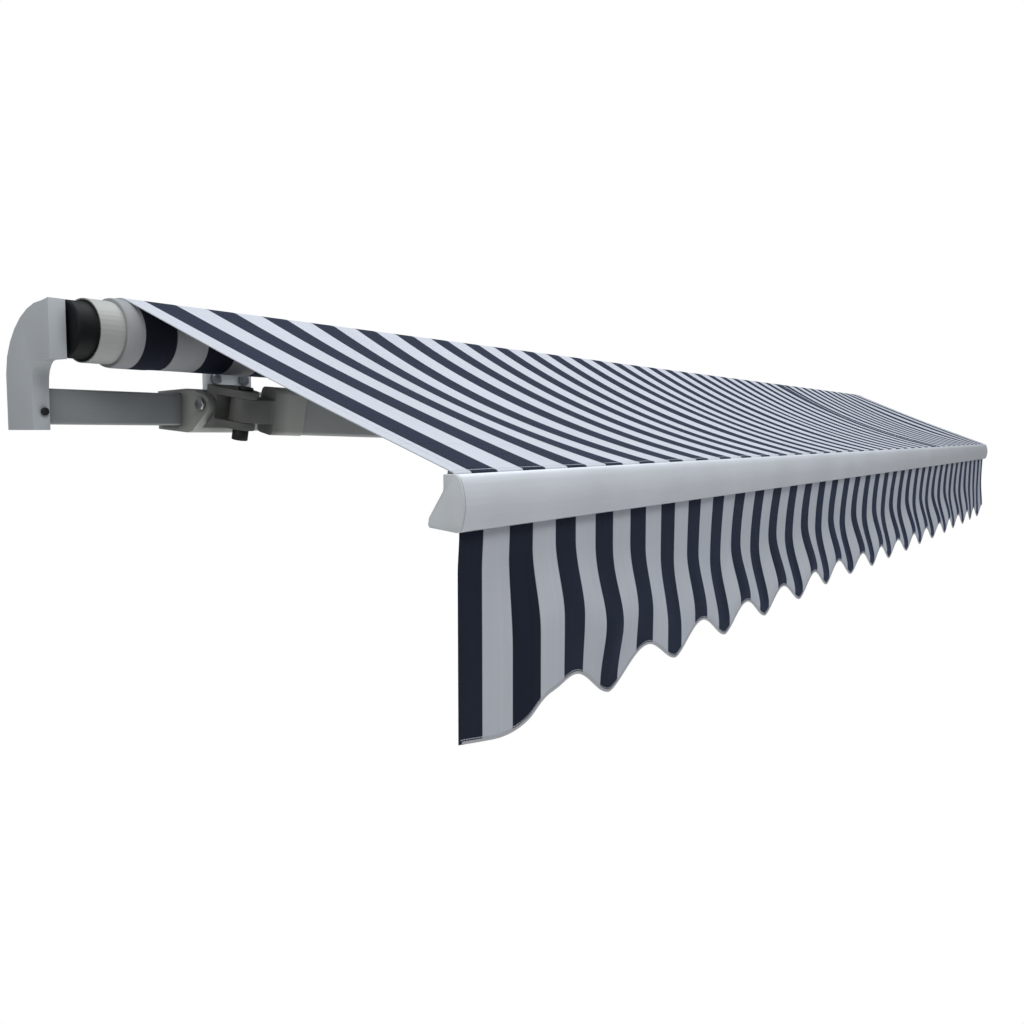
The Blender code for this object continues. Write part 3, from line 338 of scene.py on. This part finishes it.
BLACK_PLASTIC = moulded_plastic("black_roller_plastic", (0.003, 0.0035, 0.004), 0.55, 0.2)
BINDING = coated_metal("pale_binding_tape", (0.50, 0.51, 0.53), 0.85, 0.0, 0.30, (0.6, 1.0, 1.0))
THREAD = moulded_plastic("sewing_thread", (0.42, 0.43, 0.46), 0.70)
ZINC = coated_metal("zinc_bolt", (0.46, 0.47, 0.48), 0.34, 1.0, 0.12)
BLACK_STEEL = coated_metal("blackened_steel", (0.035, 0.036, 0.034), 0.42, 0.6, 0.12)
print("materials so far:", len(bpy.data.materials))

# %% [markdown]
# ## Soft edges on the rigid pieces
#
# A cast or sawn edge is never knife sharp: the coating flows round it and it catches a thin
# line of light. The model's solids have sharp edges. A copy is welded, its flat faces are
# merged, and a Bevel modifier rounds what is left sharp. The copy then stands for the solid.

# %% A helper that rounds a piece
SHARP_DEGREES = 32
FLAT_DEGREES = 1.0
WELD = 0.00001


def finish_mesh(obj):
    """Apply the modifiers and keep the object with a plain mesh."""
    depsgraph = bpy.context.evaluated_depsgraph_get()
    mesh = bpy.data.meshes.new_from_object(obj.evaluated_get(depsgraph))
    obj.modifiers.clear()
    obj.data = mesh
    mesh.name = obj.name


def smooth(obj, degrees=SHARP_DEGREES):
    obj.data.shade_smooth()
    obj.data.set_sharp_from_angle(angle=math.radians(degrees))
    return obj


def link(name, mesh, material=None):
    obj = bpy.data.objects.new(name, mesh)
    bpy.context.scene.collection.objects.link(obj)
    if material:
        mesh.materials.clear()
        mesh.materials.append(material)
    return obj


def rounded(node, material, width, segments=2):
    source = frame["nodes"][node]
    mesh = source.data.copy()
    bm = bmesh.new()
    bm.from_mesh(mesh)
    bmesh.ops.remove_doubles(bm, verts=bm.verts, dist=WELD)
    bmesh.ops.dissolve_limit(bm, angle_limit=math.radians(FLAT_DEGREES), verts=bm.verts, edges=bm.edges)
    bm.to_mesh(mesh)
    bm.free()
    obj = link("finished_" + node, mesh, material)
    bevel = obj.modifiers.new("soft edges", "BEVEL")
    bevel.width = width
    bevel.segments = segments
    bevel.limit_method = "ANGLE"
    bevel.angle_limit = math.radians(SHARP_DEGREES)
    finish_mesh(obj)
    smooth(obj)
    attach(obj, source["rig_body"])
    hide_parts(node)


print("rounding helper ready")

# %% [markdown]
# ## Brackets, supports and arms
#
# These castings carry the awning. They keep the model's shape and get the rounding and a
# coat. Joints near the arms are darker: the castings there are raw under a thin coat, with
# grease on them, while the end brackets show their pale outer face. The roller's tube, the
# axle pin, the gear's wheel and worm and the keder rods keep the model's mesh and only
# change material.

# %% Round and coat the castings
# piece, material, slot, width of the rounding, and steps in it
BOTH_SIDES = (
    ("end_bracket_", CAST_COAT, "cast_grey", 0.0016, 3),
    ("wall_bracket_", WALL_COAT, "cast_grey", 0.0010, 2),
    ("arm_support_", JOINT_COAT, "cast_grey", 0.0014, 2),
    ("shoulder_yoke_", JOINT_COAT, "cast_grey", 0.0012, 2),
    ("arm_root_", JOINT_COAT, "cast_grey", 0.0012, 2),
    ("elbow_fork_", JOINT_COAT, "cast_grey", 0.0012, 2),
    ("elbow_eye_", JOINT_COAT, "cast_grey", 0.0010, 2),
    ("wrist_eye_", JOINT_COAT, "cast_grey", 0.0010, 2),
    ("front_bracket_", CAST_COAT, "cast_grey", 0.0012, 2),
    ("front_cap_", CAP_PLASTIC, "grey_plastic", 0.0007, 2),
    ("roller_cap_", BLACK_PLASTIC, "black_plastic", 0.0008, 3),
    ("bar_plug_", BLACK_PLASTIC, "black_plastic", 0.0005, 2),
    ("upper_arm_", ARM_COAT, "arm_coat", 0.0004, 2),
    ("forearm_", ARM_COAT, "arm_coat", 0.0004, 2),
    ("shoulder_pin_", BLACK_STEEL, "dark_steel", 0.0005, 2),
    ("elbow_pin_", BLACK_STEEL, "dark_steel", 0.0005, 2),
    ("wrist_pin_", BLACK_STEEL, "dark_steel", 0.0005, 2),
    ("bracket_screw_", BLACK_STEEL, "dark_steel", 0.0003, 2),
    ("pitch_bolt_", ZINC, "steel", 0.0005, 2),
    ("front_bracket_bolt_", ZINC, "steel", 0.0004, 2),
)
for side in ("left", "right"):
    for stem, material, slot, width, segments in BOTH_SIDES:
        rounded(stem + side, material, width, segments)
    for spot in ("outer", "inner"):
        rounded("wall_bolt_%s_%s" % (side, spot), ZINC, 0.0005)
rounded("gear_housing", CAST_COAT, 0.0010)
rounded("gear_lid", CAST_COAT, 0.0006)
rounded("square_bar", BAR_COAT, 0.0004)
rounded("front_bar", SILVER_COAT, 0.0005)

CARRIED_OVER = {"roller_tube": TUBE_COAT, "worm_wheel": ZINC, "axle_pin": ZINC, "crank_worm": BLACK_STEEL,
                "canopy_keder": BLACK_PLASTIC, "valance_keder": BLACK_PLASTIC}
for node, material in CARRIED_OVER.items():
    mesh = frame["nodes"][node].data
    mesh.materials.clear()
    mesh.materials.append(material)

# %% [markdown]
# ## Cloth made from rows of points
#
# The sheet, the front hem and the valance are grids: a rule gives the place of each point
# from how far it lies across the awning and how far along the yarn. The two distances also
# become the UV map, so the stripes of neighbouring pieces meet. The valance takes its map
# from its place instead, which keeps its stripes upright. A Solidify modifier gives the
# thickness.

# %% A grid of cloth
CLOTH_THICK = 0.0010
FABRIC_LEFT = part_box("canopy")[0].x
FABRIC_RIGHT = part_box("canopy")[1].x


def cloth_grid(name, across, along, rule, shift=(0.0, 0.0), material=SHEET_CLOTH):
    """across and along are lists of distances; rule(u, v) gives the point."""
    mesh = bpy.data.meshes.new(name)
    bm = bmesh.new()
    layer = bm.loops.layers.uv.new("cloth")
    rows = [[bm.verts.new(rule(u, v)) for u in across] for v in along]
    for j in range(len(along) - 1):
        for i in range(len(across) - 1):
            face = bm.faces.new((rows[j][i], rows[j + 1][i], rows[j + 1][i + 1], rows[j][i + 1]))
            spots = ((i, j), (i, j + 1), (i + 1, j + 1), (i + 1, j))
            for loop, (a, b) in zip(face.loops, spots):
                loop[layer].uv = (across[a] + shift[0], along[b] + shift[1])
    bm.to_mesh(mesh)
    bm.free()
    return link(name, mesh, material)


def steps(start, end, count):
    return [start + (end - start) * i / count for i in range(count + 1)]


def bump(value, centre, spread):
    return math.exp(-((value - centre) / spread) ** 2)


def rise(value, start, end):
    share = max(0.0, min(1.0, (value - start) / (end - start)))
    return share * share * (3 - 2 * share)


def thicken(obj, thickness=CLOTH_THICK, offset=0.0):
    solid = obj.modifiers.new("cloth thickness", "SOLIDIFY")
    solid.thickness = thickness
    solid.offset = offset
    finish_mesh(obj)
    return smooth(obj, 60)


WIDE = FABRIC_RIGHT - FABRIC_LEFT
print("cloth", round(WIDE, 3), "m wide")

# %% [markdown]
# ## The cloth on the roller
#
# Most of the cloth is still wound on the tube. The turns don't lie perfectly true, so the
# outside swells a little where hems lie on hems, near each end. The shape is a closed ring
# of points that runs outside, round the end and back inside, turned about the roller's axis.
# The roller turns when the awning opens, so the piece rides on the roller.

# %% Wound cloth
ROLL_LOW, ROLL_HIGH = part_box("fabric_roll")
ROLL_AXIS = Vector((0, (ROLL_LOW.y + ROLL_HIGH.y) / 2, (ROLL_LOW.z + ROLL_HIGH.z) / 2))
ROLL_R = (ROLL_HIGH.z - ROLL_LOW.z) / 2
TUBE_R = (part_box("roller_tube")[1].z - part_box("roller_tube")[0].z) / 2
TURNS_DRIFT = 0.0100
HEM_WIDE = 0.052
TURNED_STEPS = 72


def roll_radius(x):
    """Outer radius of the wound cloth at x, with the doubled hems near the ends."""
    inward = min(x - ROLL_LOW.x, ROLL_HIGH.x - x)
    hem = 0.5 - 0.5 * math.tanh((inward - HEM_WIDE) / 0.0025)
    rounding = 0.0012 * math.exp(-inward / 0.0012)
    ripple = 0.00012 * math.sin(x * 21.0) + 0.00008 * math.sin(x * 57.0 + 1.0)
    return ROLL_R - 0.0007 + 0.0006 * hem + ripple - rounding


def roll_profile():
    inside = TUBE_R + 0.0004
    ends = [0.0, 0.0006, 0.0015, 0.004, 0.012, 0.030, 0.046, 0.050, 0.053, 0.058, 0.070]
    outside = [ROLL_LOW.x + d for d in ends] + steps(ROLL_LOW.x + 0.1, ROLL_HIGH.x - 0.1, 120)
    outside += [ROLL_HIGH.x - d for d in reversed(ends)]
    face = steps(inside, roll_radius(ROLL_LOW.x), 6)[:-1]
    left = [(ROLL_LOW.x + 0.0004 * math.sin(40 * r / ROLL_R), r) for r in face]
    right = [(ROLL_HIGH.x - 0.0004 * math.sin(40 * r / ROLL_R), r) for r in reversed(face)]
    return left + [(x, roll_radius(x)) for x in outside] + right


profile = roll_profile()


def roll_point(index, angle):
    x, r = profile[index]
    y = ROLL_AXIS.y + r * math.cos(angle)
    return (x, y, ROLL_AXIS.z + r * math.sin(angle))


def wound_cloth():
    mesh = bpy.data.meshes.new("wound_cloth")
    bm = bmesh.new()
    layer = bm.loops.layers.uv.new("cloth")
    count = len(profile)
    angles = [2 * math.pi * j / TURNED_STEPS for j in range(TURNED_STEPS + 1)]
    rings = [[bm.verts.new(roll_point(i, angle)) for i in range(count)] for angle in angles[:-1]]
    for j in range(TURNED_STEPS):
        for i in range(count):
            k = (i + 1) % count
            m = (j + 1) % TURNED_STEPS
            face = bm.faces.new((rings[j][i], rings[j][k], rings[m][k], rings[m][i]))
            for loop, (a, b) in zip(face.loops, ((i, j), (k, j), (k, j + 1), (i, j + 1))):
                loop[layer].uv = (profile[a][0] - FABRIC_LEFT + TURNS_DRIFT, angles[b] * ROLL_R)
    bmesh.ops.recalc_face_normals(bm, faces=bm.faces)
    bm.to_mesh(mesh)
    bm.free()
    return smooth(link("wound_cloth", mesh, ROLL_CLOTH), 50)


roll = wound_cloth()
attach(roll, "roller")
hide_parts("fabric_roll")
print("wound cloth", len(roll.data.polygons), "faces")

# %% [markdown]
# ## The sheet
#
# The sheet leaves the roll at a tangent and runs down to the front bar. The side hems are
# doubled and hold the edges straight, and between them the cloth sags by two centimetres and
# ripples a little. A cloth simulation would find the same shape slowly, so a rule gives it.
# The first rows are the outermost turn: they run up the back of the roll and over its top,
# so no gap shows where the sheet lifts off. Cloth rarely runs out square: here it moves
# sideways by `SKEW` on the way to the bar.

# %% Sheet
FRONT_Y = (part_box("canopy_keder")[0].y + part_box("canopy_keder")[1].y) / 2
FRONT_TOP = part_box("front_bar")[1].z
HEM_LENGTH = 0.070
WRAP = math.radians(176)
EDGE_BAND = 0.06


def sheet_line():
    """Where the sheet leaves the roll and meets the front bar, as Y and Z."""
    end = Vector((FRONT_Y + 0.0006, FRONT_TOP + 0.0009))
    centre = Vector((ROLL_AXIS.y, ROLL_AXIS.z))
    reach = end - centre
    radius = ROLL_R + 0.0003
    heading = math.atan2(reach.y, reach.x)
    angle = heading - math.acos(radius / reach.length)
    return centre, radius, angle, centre + radius * Vector((math.cos(angle), math.sin(angle))), end


CENTRE, LINE_R, LINE_ANGLE, LINE_START, LINE_END = sheet_line()
LINE = (LINE_END - LINE_START).normalized()
LINE_UP = Vector((math.cos(LINE_ANGLE), math.sin(LINE_ANGLE)))
SPAN = (LINE_END - LINE_START).length
WRAP_LENGTH = WRAP * LINE_R
SAG = 0.0205
SKEW = 0.0150
MARGIN = -0.0250


def slack(u, s):
    """Height of the sheet off its straight line; s is 0 at the roll and 1 at the front bar."""
    s = max(0.0, min(1.0, s))
    hold = math.sin(math.pi * s) ** 1.3
    sag = -SAG * rise(min(u, WIDE - u), -0.07, 0.52) * 4 * s * (1 - s)
    ripple = 0.0011 * math.sin(2 * math.pi * u / 0.53 + 0.6)
    ripple += 0.0007 * math.sin(2 * math.pi * u / 0.29 + 2.0 + 1.5 * s)
    droop = 0.0030 * (math.exp(-u / 0.05) + math.exp(-(WIDE - u) / 0.05)) * hold
    return sag + ripple * hold - droop


def sheet_x(u, s):
    return FABRIC_LEFT + u - SKEW * (1 - max(0.0, min(1.0, s)))


def sheet_point(u, v):
    x = sheet_x(u, (v - WRAP_LENGTH) / SPAN)
    if v < WRAP_LENGTH:
        angle = LINE_ANGLE - (WRAP_LENGTH - v) / LINE_R
        spot = CENTRE + (LINE_R + CLOTH_THICK / 2) * Vector((math.cos(angle), math.sin(angle)))
    else:
        along = v - WRAP_LENGTH
        spot = LINE_START + LINE * along + LINE_UP * (CLOTH_THICK / 2 + slack(u, along / SPAN))
    return (x, spot.x, spot.y)


across = steps(0.0, EDGE_BAND, 6) + steps(EDGE_BAND, WIDE - EDGE_BAND, 260)[1:]
across += steps(WIDE - EDGE_BAND, WIDE, 6)[1:]
sheet_end = WRAP_LENGTH + SPAN - HEM_LENGTH
along = steps(0.0, WRAP_LENGTH, 36) + steps(WRAP_LENGTH, sheet_end, 44)[1:]
sheet = thicken(cloth_grid("canopy_sheet", across, along, sheet_point, (MARGIN, 0.0)))
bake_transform(sheet)
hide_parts("canopy")
lean = math.degrees(math.atan2(-LINE.y, -LINE.x))
print("sheet", round(SPAN, 3), "m from roll to bar, leaning", round(lean, 1), "degrees")

# %% [markdown]
# ## The front hem
#
# The last stretch of the sheet is sewn round a rod, which slides into the upper channel of
# the front bar. It is its own piece and rides on the bar. It starts where the sheet
# ends and dips into the channel's slit.

# %% Front hem
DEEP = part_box("canopy_keder")[1].z + 0.0004


def hem_point(u, v):
    along = SPAN - HEM_LENGTH + v
    x = sheet_x(u, along / SPAN)
    if v <= HEM_LENGTH:
        spot = LINE_START + LINE * along + LINE_UP * (CLOTH_THICK / 2 + slack(u, along / SPAN))
        return (x, spot.x, spot.y)
    top = LINE_END + LINE_UP * CLOTH_THICK / 2
    return (x, FRONT_Y, top.y - (v - HEM_LENGTH))


depth = LINE_END.y - DEEP
along = steps(0.0003, HEM_LENGTH - 0.0006, 8) + steps(HEM_LENGTH + 0.0012, HEM_LENGTH + depth, 3)
hem = thicken(cloth_grid("front_hem", across, along, hem_point, (MARGIN, sheet_end)))
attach(hem, "front_bar")
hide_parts("canopy_hem")
print("front hem", round(along[-1] * 1000), "mm of cloth")

# %% [markdown]
# ## The valance
#
# The valance hangs from the lower channel of the front bar. Its lower edge is cut in waves:
# each wave is two pairs of stripes wide, with its low point on every second navy stripe.
# Nothing pulls the cloth tight, so soft folds run down it and grow towards the free edge. The
# terms of `fold` and `hang` are the single folds, each with its place, width and depth.

# %% Valance
BAR_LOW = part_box("front_bar")[0].z
LIP = BAR_LOW - 0.0006
VALANCE_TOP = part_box("valance_keder")[0].z - 0.0003
VALANCE_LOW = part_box("valance")[0].z
VALANCE_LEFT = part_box("valance")[0].x
VALANCE_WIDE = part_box("valance")[1].x - VALANCE_LEFT
SCALLOP_DEPTH = 0.036
FIRST_LOW = 0.018


def scallop(x):
    low = FIRST_LOW + STRIPE_PERIOD
    if x < low:
        return VALANCE_LOW
    wave = 0.5 - 0.5 * math.cos(math.pi * (x - low) / STRIPE_PERIOD)
    return VALANCE_LOW + SCALLOP_DEPTH * wave ** 0.8


def fold(x, down):
    """How far the cloth stands off its plane: minus is outwards, towards the viewer."""
    bend = 0.12 + 0.33 * rise(x, 0.15, 0.65)
    kick = -0.0120 * rise(x, 0.03, 0.155) * rise(down, bend, bend + 0.49)
    belly = 0.0075 * rise(x, 0.40, 0.85) * math.sin(math.pi * min(1.0, down / 0.93))
    ridge = -0.0049 * bump(x, 0.29, 0.05) * bump(down, 0.60, 0.18)
    back = 0.0053 * bump(x, 0.29, 0.07) * rise(down, 0.68, 1.0)
    waves = 0.0018 * math.sin(2 * math.pi * x / 0.46 + 3.0 * down) * rise(x, 0.7, 1.1) * down
    calm = 1 - 0.8 * rise(x, VALANCE_WIDE - 0.9, VALANCE_WIDE)
    corner = 0.0020 * rise(down, 0.0, 0.2) * (1 - rise(x, 0.0, 0.2))
    return (kick + belly) * calm + ridge + back + waves + corner


def hang(x):
    """How much lower or higher the free edge hangs than its pattern."""
    first_lobe = 0.0030 * bump(x, 0.0, 0.02) - 0.0055 * bump(x, 0.068, 0.035)
    first_lobe += 0.0115 * bump(x, 0.132, 0.026)
    return first_lobe - 0.0075 * bump(x, 0.29, 0.10) + 0.0060 * bump(x, 1.25, 0.25)


def valance_point(u, v):
    """u runs along the cloth, v is 0 in the channel, 1 at the bar's lip and 2 at the free edge."""
    x = VALANCE_LEFT + u
    if v < 1.0:
        return (x, FRONT_Y, VALANCE_TOP + (LIP - VALANCE_TOP) * v)
    down = v - 1.0
    return (x, FRONT_Y + fold(u, down), LIP + (scallop(u) + hang(u) - LIP) * down)


def valance_cloth():
    across = steps(0.0, VALANCE_WIDE, 560)
    along = [0.0, 0.5] + steps(1.0, 2.0, 26)
    obj = cloth_grid("scalloped_valance", across, along, valance_point, material=VALANCE_CLOTH)
    layer = obj.data.uv_layers["cloth"]
    for loop in obj.data.loops:
        point = obj.data.vertices[loop.vertex_index].co
        layer.data[loop.index].uv = (point.x - FABRIC_LEFT, -point.z)
    return thicken(obj)


valance = valance_cloth()
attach(valance, "front_bar")
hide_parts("valance")
print("valance", round(VALANCE_WIDE, 3), "m wide,", round(BAR_LOW - VALANCE_LOW, 3), "m deep")

# %% [markdown]
# ## Geometry Nodes: a small workshop
#
# Seams, tape and screws repeat one small shape or carry one section along a path. Geometry
# Nodes do that well: the script builds a tree of nodes with named inputs, hangs it on an
# object as a modifier, and bakes the result to a plain mesh. Four helpers do the carpentry:
# one opens a tree with its inputs, one closes it with a material, one runs it with values
# and bakes it, and one sets a node's mode.

# %% Helpers for Geometry Nodes


def open_tree(name, sizes):
    """A node tree that takes geometry, the named sizes and a material."""
    tree = bpy.data.node_groups.new(name, "GeometryNodeTree")
    tree.interface.new_socket("Geometry", in_out="INPUT", socket_type="NodeSocketGeometry")
    for label, value in sizes.items():
        socket = tree.interface.new_socket(label, in_out="INPUT", socket_type="NodeSocketFloat")
        socket.default_value = value
    tree.interface.new_socket("Material", in_out="INPUT", socket_type="NodeSocketMaterial")
    tree.interface.new_socket("Geometry", in_out="OUTPUT", socket_type="NodeSocketGeometry")
    return tree, tree.nodes.new("NodeGroupInput"), tree.nodes.new("NodeGroupOutput")


def close_tree(tree, start, end, geometry):
    """Every tree ends the same way: real geometry with its material."""
    real = add(tree, "GeometryNodeRealizeInstances", "make real", Geometry=geometry)
    dressed = add(tree, "GeometryNodeSetMaterial", "material", Geometry=real.outputs[0],
                  Material=start.outputs["Material"])
    tree.links.new(dressed.outputs[0], end.inputs[0])


def run_tree(tree, name, lines, material, **sizes):
    """Lay the tree on lines of points, with the sizes by name, and bake it."""
    mesh = bpy.data.meshes.new(name)
    points, edges = [], []
    for line in lines:
        edges += [(len(points) + i, len(points) + i + 1) for i in range(len(line) - 1)]
        points += [tuple(point) for point in line]
    mesh.from_pydata(points, edges, [])
    obj = link(name, mesh)
    modifier = obj.modifiers.new(tree.name, "NODES")
    modifier.node_group = tree
    for item in tree.interface.items_tree:
        if item.in_out == "INPUT" and item.name in sizes:
            modifier[item.identifier] = sizes[item.name]
        if item.in_out == "INPUT" and item.name == "Material":
            modifier[item.identifier] = material
    finish_mesh(obj)
    return obj


def set_mode(node, mode):
    """The mode is a socket in newer versions of Blender and a property in older ones."""
    if "Mode" in node.inputs:
        node.inputs["Mode"].default_value = mode
    else:
        node.mode = mode.upper().replace(" ", "_")


print("helpers for node trees ready")

# %% [markdown]
# ## Seams
#
# A lockstitch seam shows as a row of short threads. The tree turns the line into a curve,
# sets one point per stitch, and puts a six-sided thread on each point, turned along the
# curve. The thread is a little thicker than the cloth, so it shows on both faces.
#
# Awning cloth comes 1.2 m wide, so panels are joined by pairs of rows down the sheet. Both
# side hems, the rod pocket at the front and the scalloped edge are sewn too.

# %% Seams
THREAD_SIDES = 6
stitch_tree, start, end = open_tree("stitches", {"Pitch": 0.0042, "Length": 0.0030, "Radius": 0.00075})
curve = add(stitch_tree, "GeometryNodeMeshToCurve", "seam line", Mesh=start.outputs["Geometry"])
dots = add(stitch_tree, "GeometryNodeResampleCurve", "one point a stitch", Curve=curve.outputs[0])
set_mode(dots, "Length")
stitch_tree.links.new(start.outputs["Pitch"], dots.inputs["Length"])
thread = add(stitch_tree, "GeometryNodeMeshCylinder", "thread", Vertices=THREAD_SIDES,
             Radius=start.outputs["Radius"], Depth=start.outputs["Length"])
along_line = add(stitch_tree, "GeometryNodeInputTangent", "direction")
turn = add(stitch_tree, "FunctionNodeAlignRotationToVector", "turn along the seam",
           Vector=along_line.outputs[0])
turn.axis = "Z"
rows = add(stitch_tree, "GeometryNodeInstanceOnPoints", "sew", Points=dots.outputs[0],
           Instance=thread.outputs["Mesh"], Rotation=turn.outputs[0])
close_tree(stitch_tree, start, end, rows.outputs[0])

HEM_IN = 0.016
PANEL = 1.17
ROW_APART = 0.007
joins = [u + shift for u in (PANEL, 2 * PANEL) for shift in (-ROW_APART, ROW_APART)]
down_rows = [HEM_IN] + joins + [WIDE - HEM_IN]
down_sheet = steps(WRAP_LENGTH + 0.002, sheet_end - 0.002, 60)
sheet_rows = [[sheet_point(u, v) for v in down_sheet] for u in down_rows]
sheet_seams = run_tree(stitch_tree, "sheet_seams", sheet_rows, THREAD)
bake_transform(sheet_seams)

hem_rows = [[hem_point(u, v) for v in steps(0.003, HEM_LENGTH - 0.008, 8)] for u in down_rows]
hem_rows.append([hem_point(u, HEM_LENGTH - 0.004) for u in steps(0.004, WIDE - 0.004, 300)])
hem_seams = run_tree(stitch_tree, "front_hem_seams", hem_rows, THREAD)
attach(hem_seams, "front_bar")


def hem_line(up):
    """A line on the valance, up metres above its free edge."""
    line = []
    for u in steps(0.004, VALANCE_WIDE - 0.004, 700):
        deep = LIP - scallop(u) - hang(u)
        line.append(valance_point(u, 2.0 - up / deep))
    return line


edge_seam = run_tree(stitch_tree, "scalloped_edge_seam", [hem_line(0.0040)], THREAD)
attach(edge_seam, "front_bar")
thread_faces = sum(len(obj.data.polygons) for obj in (sheet_seams, hem_seams, edge_seam))
print("stitches:", thread_faces // (THREAD_SIDES + 2))

# %% [markdown]
# ## Tape on the scalloped edge
#
# The cut edge would fray, so a folded tape is sewn over it. One small rectangle carried
# along the edge makes it: Curve to Mesh takes the path and the section. Counting the
# normals from the vertical keeps the tape flat in the plane of the cloth.

# %% Binding tape
tape_tree, start, end = open_tree("binding_tape", {"Height": 0.0030, "Thickness": 0.0019})
curve = add(tape_tree, "GeometryNodeMeshToCurve", "edge line", Mesh=start.outputs["Geometry"])
level = add(tape_tree, "GeometryNodeSetCurveNormal", "keep it flat", Curve=curve.outputs[0])
set_mode(level, "Z Up")
section = add(tape_tree, "GeometryNodeCurvePrimitiveQuadrilateral", "section",
              Width=start.outputs["Thickness"], Height=start.outputs["Height"])
tape = add(tape_tree, "GeometryNodeCurveToMesh", "carry the section", Curve=level.outputs[0], Fill_Caps=True)
tape_tree.links.new(section.outputs[0], tape.inputs["Profile Curve"])
close_tree(tape_tree, start, end, tape.outputs[0])

binding = run_tree(tape_tree, "scalloped_binding", [hem_line(0.0010)], BINDING)
smooth(binding, 40)
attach(binding, "front_bar")
print("binding tape", len(binding.data.polygons), "faces")

# %% [markdown]
# ## Small screws
#
# Four screws hold the lid of the crank gear. Each is a low head with a hexagonal socket,
# cut once in the tree by a boolean and then placed on every point that comes in.

# %% Lid screws
screw_tree, start, end = open_tree("socket_screws", {"Radius": 0.0022, "Height": 0.0012, "Socket": 0.0011})
head = add(screw_tree, "GeometryNodeMeshCylinder", "head", Vertices=20, Radius=start.outputs["Radius"],
           Depth=start.outputs["Height"])
socket = add(screw_tree, "GeometryNodeMeshCylinder", "socket", Vertices=6, Radius=start.outputs["Socket"],
             Depth=start.outputs["Height"])
raised = add(screw_tree, "GeometryNodeTransform", "half out of the head", Geometry=socket.outputs["Mesh"],
             Translation=(0.0, 0.0, 0.0007))
cut = screw_tree.nodes.new("GeometryNodeMeshBoolean")
cut.operation = "DIFFERENCE"
screw_tree.links.new(head.outputs["Mesh"], cut.inputs["Mesh 1"])
screw_tree.links.new(raised.outputs[0], cut.inputs["Mesh 2"])
placed = add(screw_tree, "GeometryNodeInstanceOnPoints", "one on each point",
             Points=start.outputs["Geometry"], Instance=cut.outputs["Mesh"],
             Rotation=(0.0, -math.pi / 2, 0.0))
close_tree(screw_tree, start, end, placed.outputs[0])

LID_LOW, LID_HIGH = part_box("gear_lid")
FROM_EDGE = 0.006
PROUD = 0.0004
rows_y = (LID_LOW.y + FROM_EDGE, LID_HIGH.y - FROM_EDGE)
rows_z = (LID_LOW.z + FROM_EDGE, LID_HIGH.z - FROM_EDGE)
spots = [(LID_LOW.x - PROUD, y, z) for y in rows_y for z in rows_z]
screws = run_tree(screw_tree, "gear_lid_screws", [[spot] for spot in spots], BLACK_STEEL)
smooth(screws, 30)
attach(screws, "wall_frame")
print("lid screws at", [tuple(round(v, 3) for v in spot) for spot in spots])

# %% [markdown]
# ## Floor, light and sky
#
# A plain pale floor lies well below the awning. One broad light hangs above, one stands in
# front and higher up, a weak one to the left, and the sky fills the rest: shadows stay soft.

# %% Stage and light
FLOOR_HALF = 3.0
FLOOR_DROP = 3.1
floor_mesh = bpy.data.meshes.new("floor")
bm = bmesh.new()
bmesh.ops.create_grid(bm, x_segments=1, y_segments=1, size=FLOOR_HALF)
bmesh.ops.translate(bm, verts=bm.verts, vec=(0, 0, -FLOOR_DROP))
bm.to_mesh(floor_mesh)
bm.free()
floor_material, _, floor_shader = new_material("pale_floor", 0.9)
floor_shader.inputs["Base Color"].default_value = (0.80, 0.81, 0.80, 1.0)
floor_shader.inputs["Emission Color"].default_value = (1.0, 1.0, 1.0, 1.0)
floor_shader.inputs["Emission Strength"].default_value = 0.72
floor = link("floor", floor_mesh, floor_material)


def area_light(name, place, aim, size, power, tint=(1.0, 1.0, 1.0)):
    lamp = bpy.data.lights.new(name, "AREA")
    lamp.shape = "RECTANGLE"
    lamp.size, lamp.size_y = size
    lamp.energy = power
    lamp.color = tint
    obj = bpy.data.objects.new(name, lamp)
    bpy.context.scene.collection.objects.link(obj)
    toward = Vector(aim) - Vector(place)
    obj.matrix_world = Matrix.Translation(place) @ toward.to_track_quat("-Z", "Y").to_matrix().to_4x4()


area_light("light_above", (0.0, -0.2, 3.4), (0.0, -0.25, 0.0), (6.0, 2.4), 135.0, (0.90, 0.95, 1.0))
area_light("light_front", (-2.0, -3.2, 3.2), (-0.4, -0.5, -0.1), (3.5, 1.5), 78.0, (0.97, 0.98, 1.0))
area_light("light_left", (-4.6, -0.8, 1.2), (-1.6, -0.2, 0.0), (2.0, 1.6), 26.0)

world = bpy.data.worlds.new("soft_sky")
world.use_nodes = True
bpy.context.scene.world = world
sky = world.node_tree
seen = sky.nodes["Background"]
seen.inputs["Color"].default_value = (1.0, 1.0, 1.0, 1.0)
seen.inputs["Strength"].default_value = 1.0
glow = sky.nodes.new("ShaderNodeBackground")
glow.inputs["Color"].default_value = (0.92, 0.96, 1.0, 1.0)
glow.inputs["Strength"].default_value = 0.26
ray = sky.nodes.new("ShaderNodeLightPath")
choose = sky.nodes.new("ShaderNodeMixShader")
sky.links.new(ray.outputs["Is Camera Ray"], choose.inputs[0])
sky.links.new(glow.outputs[0], choose.inputs[1])
sky.links.new(seen.outputs[0], choose.inputs[2])
sky.links.new(choose.outputs[0], sky.nodes["World Output"].inputs["Surface"])
bpy.context.scene.view_settings.view_transform = "Standard"

# %% [markdown]
# ## How high the scalloped edge reaches
#
# At 401 places along the valance, the height of its free edge above its lowest line is worked out.

# %% Measure the scalloped edge
bites = [scallop(u) + hang(u) - VALANCE_LOW for u in steps(0.0, VALANCE_WIDE, 400)]
